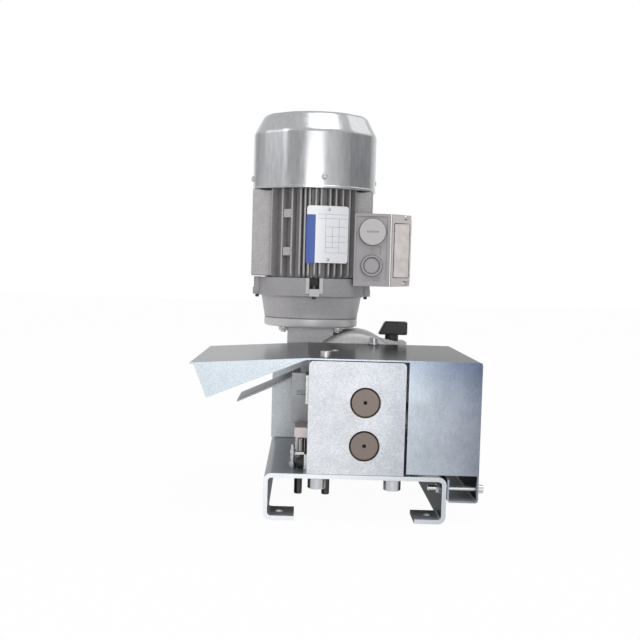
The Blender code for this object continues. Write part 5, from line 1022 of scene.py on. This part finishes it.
def bent_plate(start, end, low, high, inner, outer, corner=0):
    """A thin plate that is bent round the motor between two turns in degrees, with rounded corners."""
    left, right = (math.radians(turn) * PLATE_RADIUS for turn in (start, end))
    plate = block((left, inner, low), (right, outer, high))
    if corner:
        round_off(plate, corner, 5, lambda one, other: abs(one.y - other.y) > 0.01)
    bpy.ops.object.mode_set(mode="EDIT")
    for step in range(1, 20):
        bpy.ops.mesh.select_all(action="SELECT")
        bpy.ops.mesh.bisect(plane_co=spot(left + (right - left) * step / 20, 0, 0), plane_no=(1, 0, 0))
    bpy.ops.object.mode_set(mode="OBJECT")
    for vertex in plate.data.vertices:
        flat = measured(vertex.co)
        turn = flat.x / PLATE_RADIUS
        vertex.co = spot(*from_motor(flat.y * math.sin(turn), -flat.y * math.cos(turn), flat.z))
    bpy.ops.object.mode_set(mode="EDIT")
    bpy.ops.mesh.select_all(action="SELECT")
    bpy.ops.mesh.normals_make_consistent(inside=False)
    bpy.ops.object.mode_set(mode="OBJECT")
    return plate


def rule(start, end, low, high):
    """A printed line on the nameplate."""
    return bent_plate(start, end, low, high, 63.46, 63.54)


plate_white = finish("printed_nameplate", (0.86, 0.87, 0.905), 0.1, 0.36, grain=0.03, bump=0.01)
plate_blue = finish("blue_print", (0.045, 0.10, 0.37), 0.1, 0.36, grain=0.05, bump=0.01)
plate = bent_plate(-6.5, 36.5, 233.5, 294.5, 62.85, 63.5, corner=3)
keep(smooth(plate, angle=25), "bare_nameplate", "base", plate_white, ["nameplate"])
band = bent_plate(-6.9, 2, 233, 285, 63.45, 63.56)
keep(smooth(band, angle=25), "nameplate_band", "base", plate_blue)
rules = [rule(start, end, up - 0.13, up + 0.13) for start, end, up in (
    (12, 35, 244.5), (12, 26, 250), (12, 35, 256), (12, 35, 262), (12, 35, 272), (4.5, 35, 281),
    (4.5, 35, 285.5),
)]
rules += [rule(turn - 0.12, turn + 0.12, low, high) for turn, low, high in (
    (12, 244.5, 285.5), (19, 250, 272), (26, 244.5, 281),
)]
pick(*rules)
bpy.ops.object.join()
ruled_grey = finish("pale_ruled_print", (0.22, 0.225, 0.24), 0.0, 0.4, grain=0.04, bump=0.01)
keep(smooth(rules[0], angle=25), "nameplate_rules", "base", ruled_grey)
for name, up in (("lower", 237), ("upper", 291)):
    rivet = lathe(from_motor(0, 0, up), [(1.7, -63.4), (1.7, -63.8), (1.3, -64.5), (0.5, -64.8)], "Y", 24)
    fastener(swing(rivet, 15), f"{name}_nameplate_rivet")

# Clamping grip: a black moulded grip on an M8 stud in the gearbox's lug, with one slanting flank. The stud is
# moulded into it and turns with it.
stem = lathe((*GRIP_STUD, 0), [(3.6, 139), (4, 139.4), (4, 159.5), (3.6, 160)], sides=48)
fastener(stem, "grip_stud", ["clamp_stud"], body="clamp")
grip = block((27.5, 255, 155), (60, 273, 170))
move_points(grip, (7.5, 0, 0), lambda point: point.x < 40 and point.z > 160)
smooth(grip, edge=2.0, steps=4)
shaped(grip, [lathe((*GRIP_STUD, 0), [(7.2, 148.4), (7.5, 148.8), (7.5, 157)], sides=64)], "UNION")
keep(smooth(grip, edge=0.3), "black_clamp_grip", "clamp", black_plastic, ["clamp_grip"])

# Pieces inside the machine that keep their first shape: bronze bushes, hardened gears and keys, rolling
# bearings, the worm and its bronze wheel, the laminated stator and rotor, and the moulded fan and terminal
# block.
bronze = finish("sintered_bronze", (0.20, 0.135, 0.08), 0.9, 0.5, grain=0.16, grain_size=1300, bump=0.06)
wheel_bronze = finish("cast_wheel_bronze", (0.42, 0.29, 0.14), 1.0, 0.36, grain=0.10, bump=0.04)
gear_steel = finish("hobbed_gear_steel", (0.36, 0.36, 0.37), 1.0, 0.34, grain=0.10, bump=0.04, dirt=0.15)
bearing_steel = finish("bearing_ring_steel", (0.60, 0.60, 0.61), 1.0, 0.20, grain=0.05, streaks=(6, 6, 1))
laminations = finish("stacked_laminations", (0.20, 0.20, 0.21), 0.75, 0.5, grain=0.22, grain_size=420,
                     bump=0.12, streaks=(0.05, 0.05, 5))
fan_moulding = finish("black_fan_moulding", (0.05, 0.05, 0.052), 0.0, 0.5, grain=0.12, bump=0.05)
block_moulding = finish("cream_block_moulding", (0.58, 0.54, 0.45), 0.0, 0.45, grain=0.05, bump=0.03)
for material, names in (
    (bronze, ("front_upper_bush", "front_lower_bush", "rear_upper_bush", "rear_lower_bush")),
    (wheel_bronze, ("worm_wheel",)),
    (gear_steel, ("upper_spur_gear", "lower_spur_gear", "worm_shaft")),
    (bright_steel, ("upper_gear_key", "lower_gear_key", "worm_wheel_key")),
    (bearing_steel, ("front_wheel_bearing", "rear_wheel_bearing", "lower_worm_bearing", "upper_worm_bearing",
                     "drive_end_bearing", "fan_end_bearing")),
    (laminations, ("wound_stator_core", "rotor")),
    (cast, ("fan_end_shield",)),
    (fan_moulding, ("fan",)),
    (block_moulding, ("terminal_block",)),
):
    for name in names:
        for material_slot in nodes[name].material_slots:
            material_slot.material = material
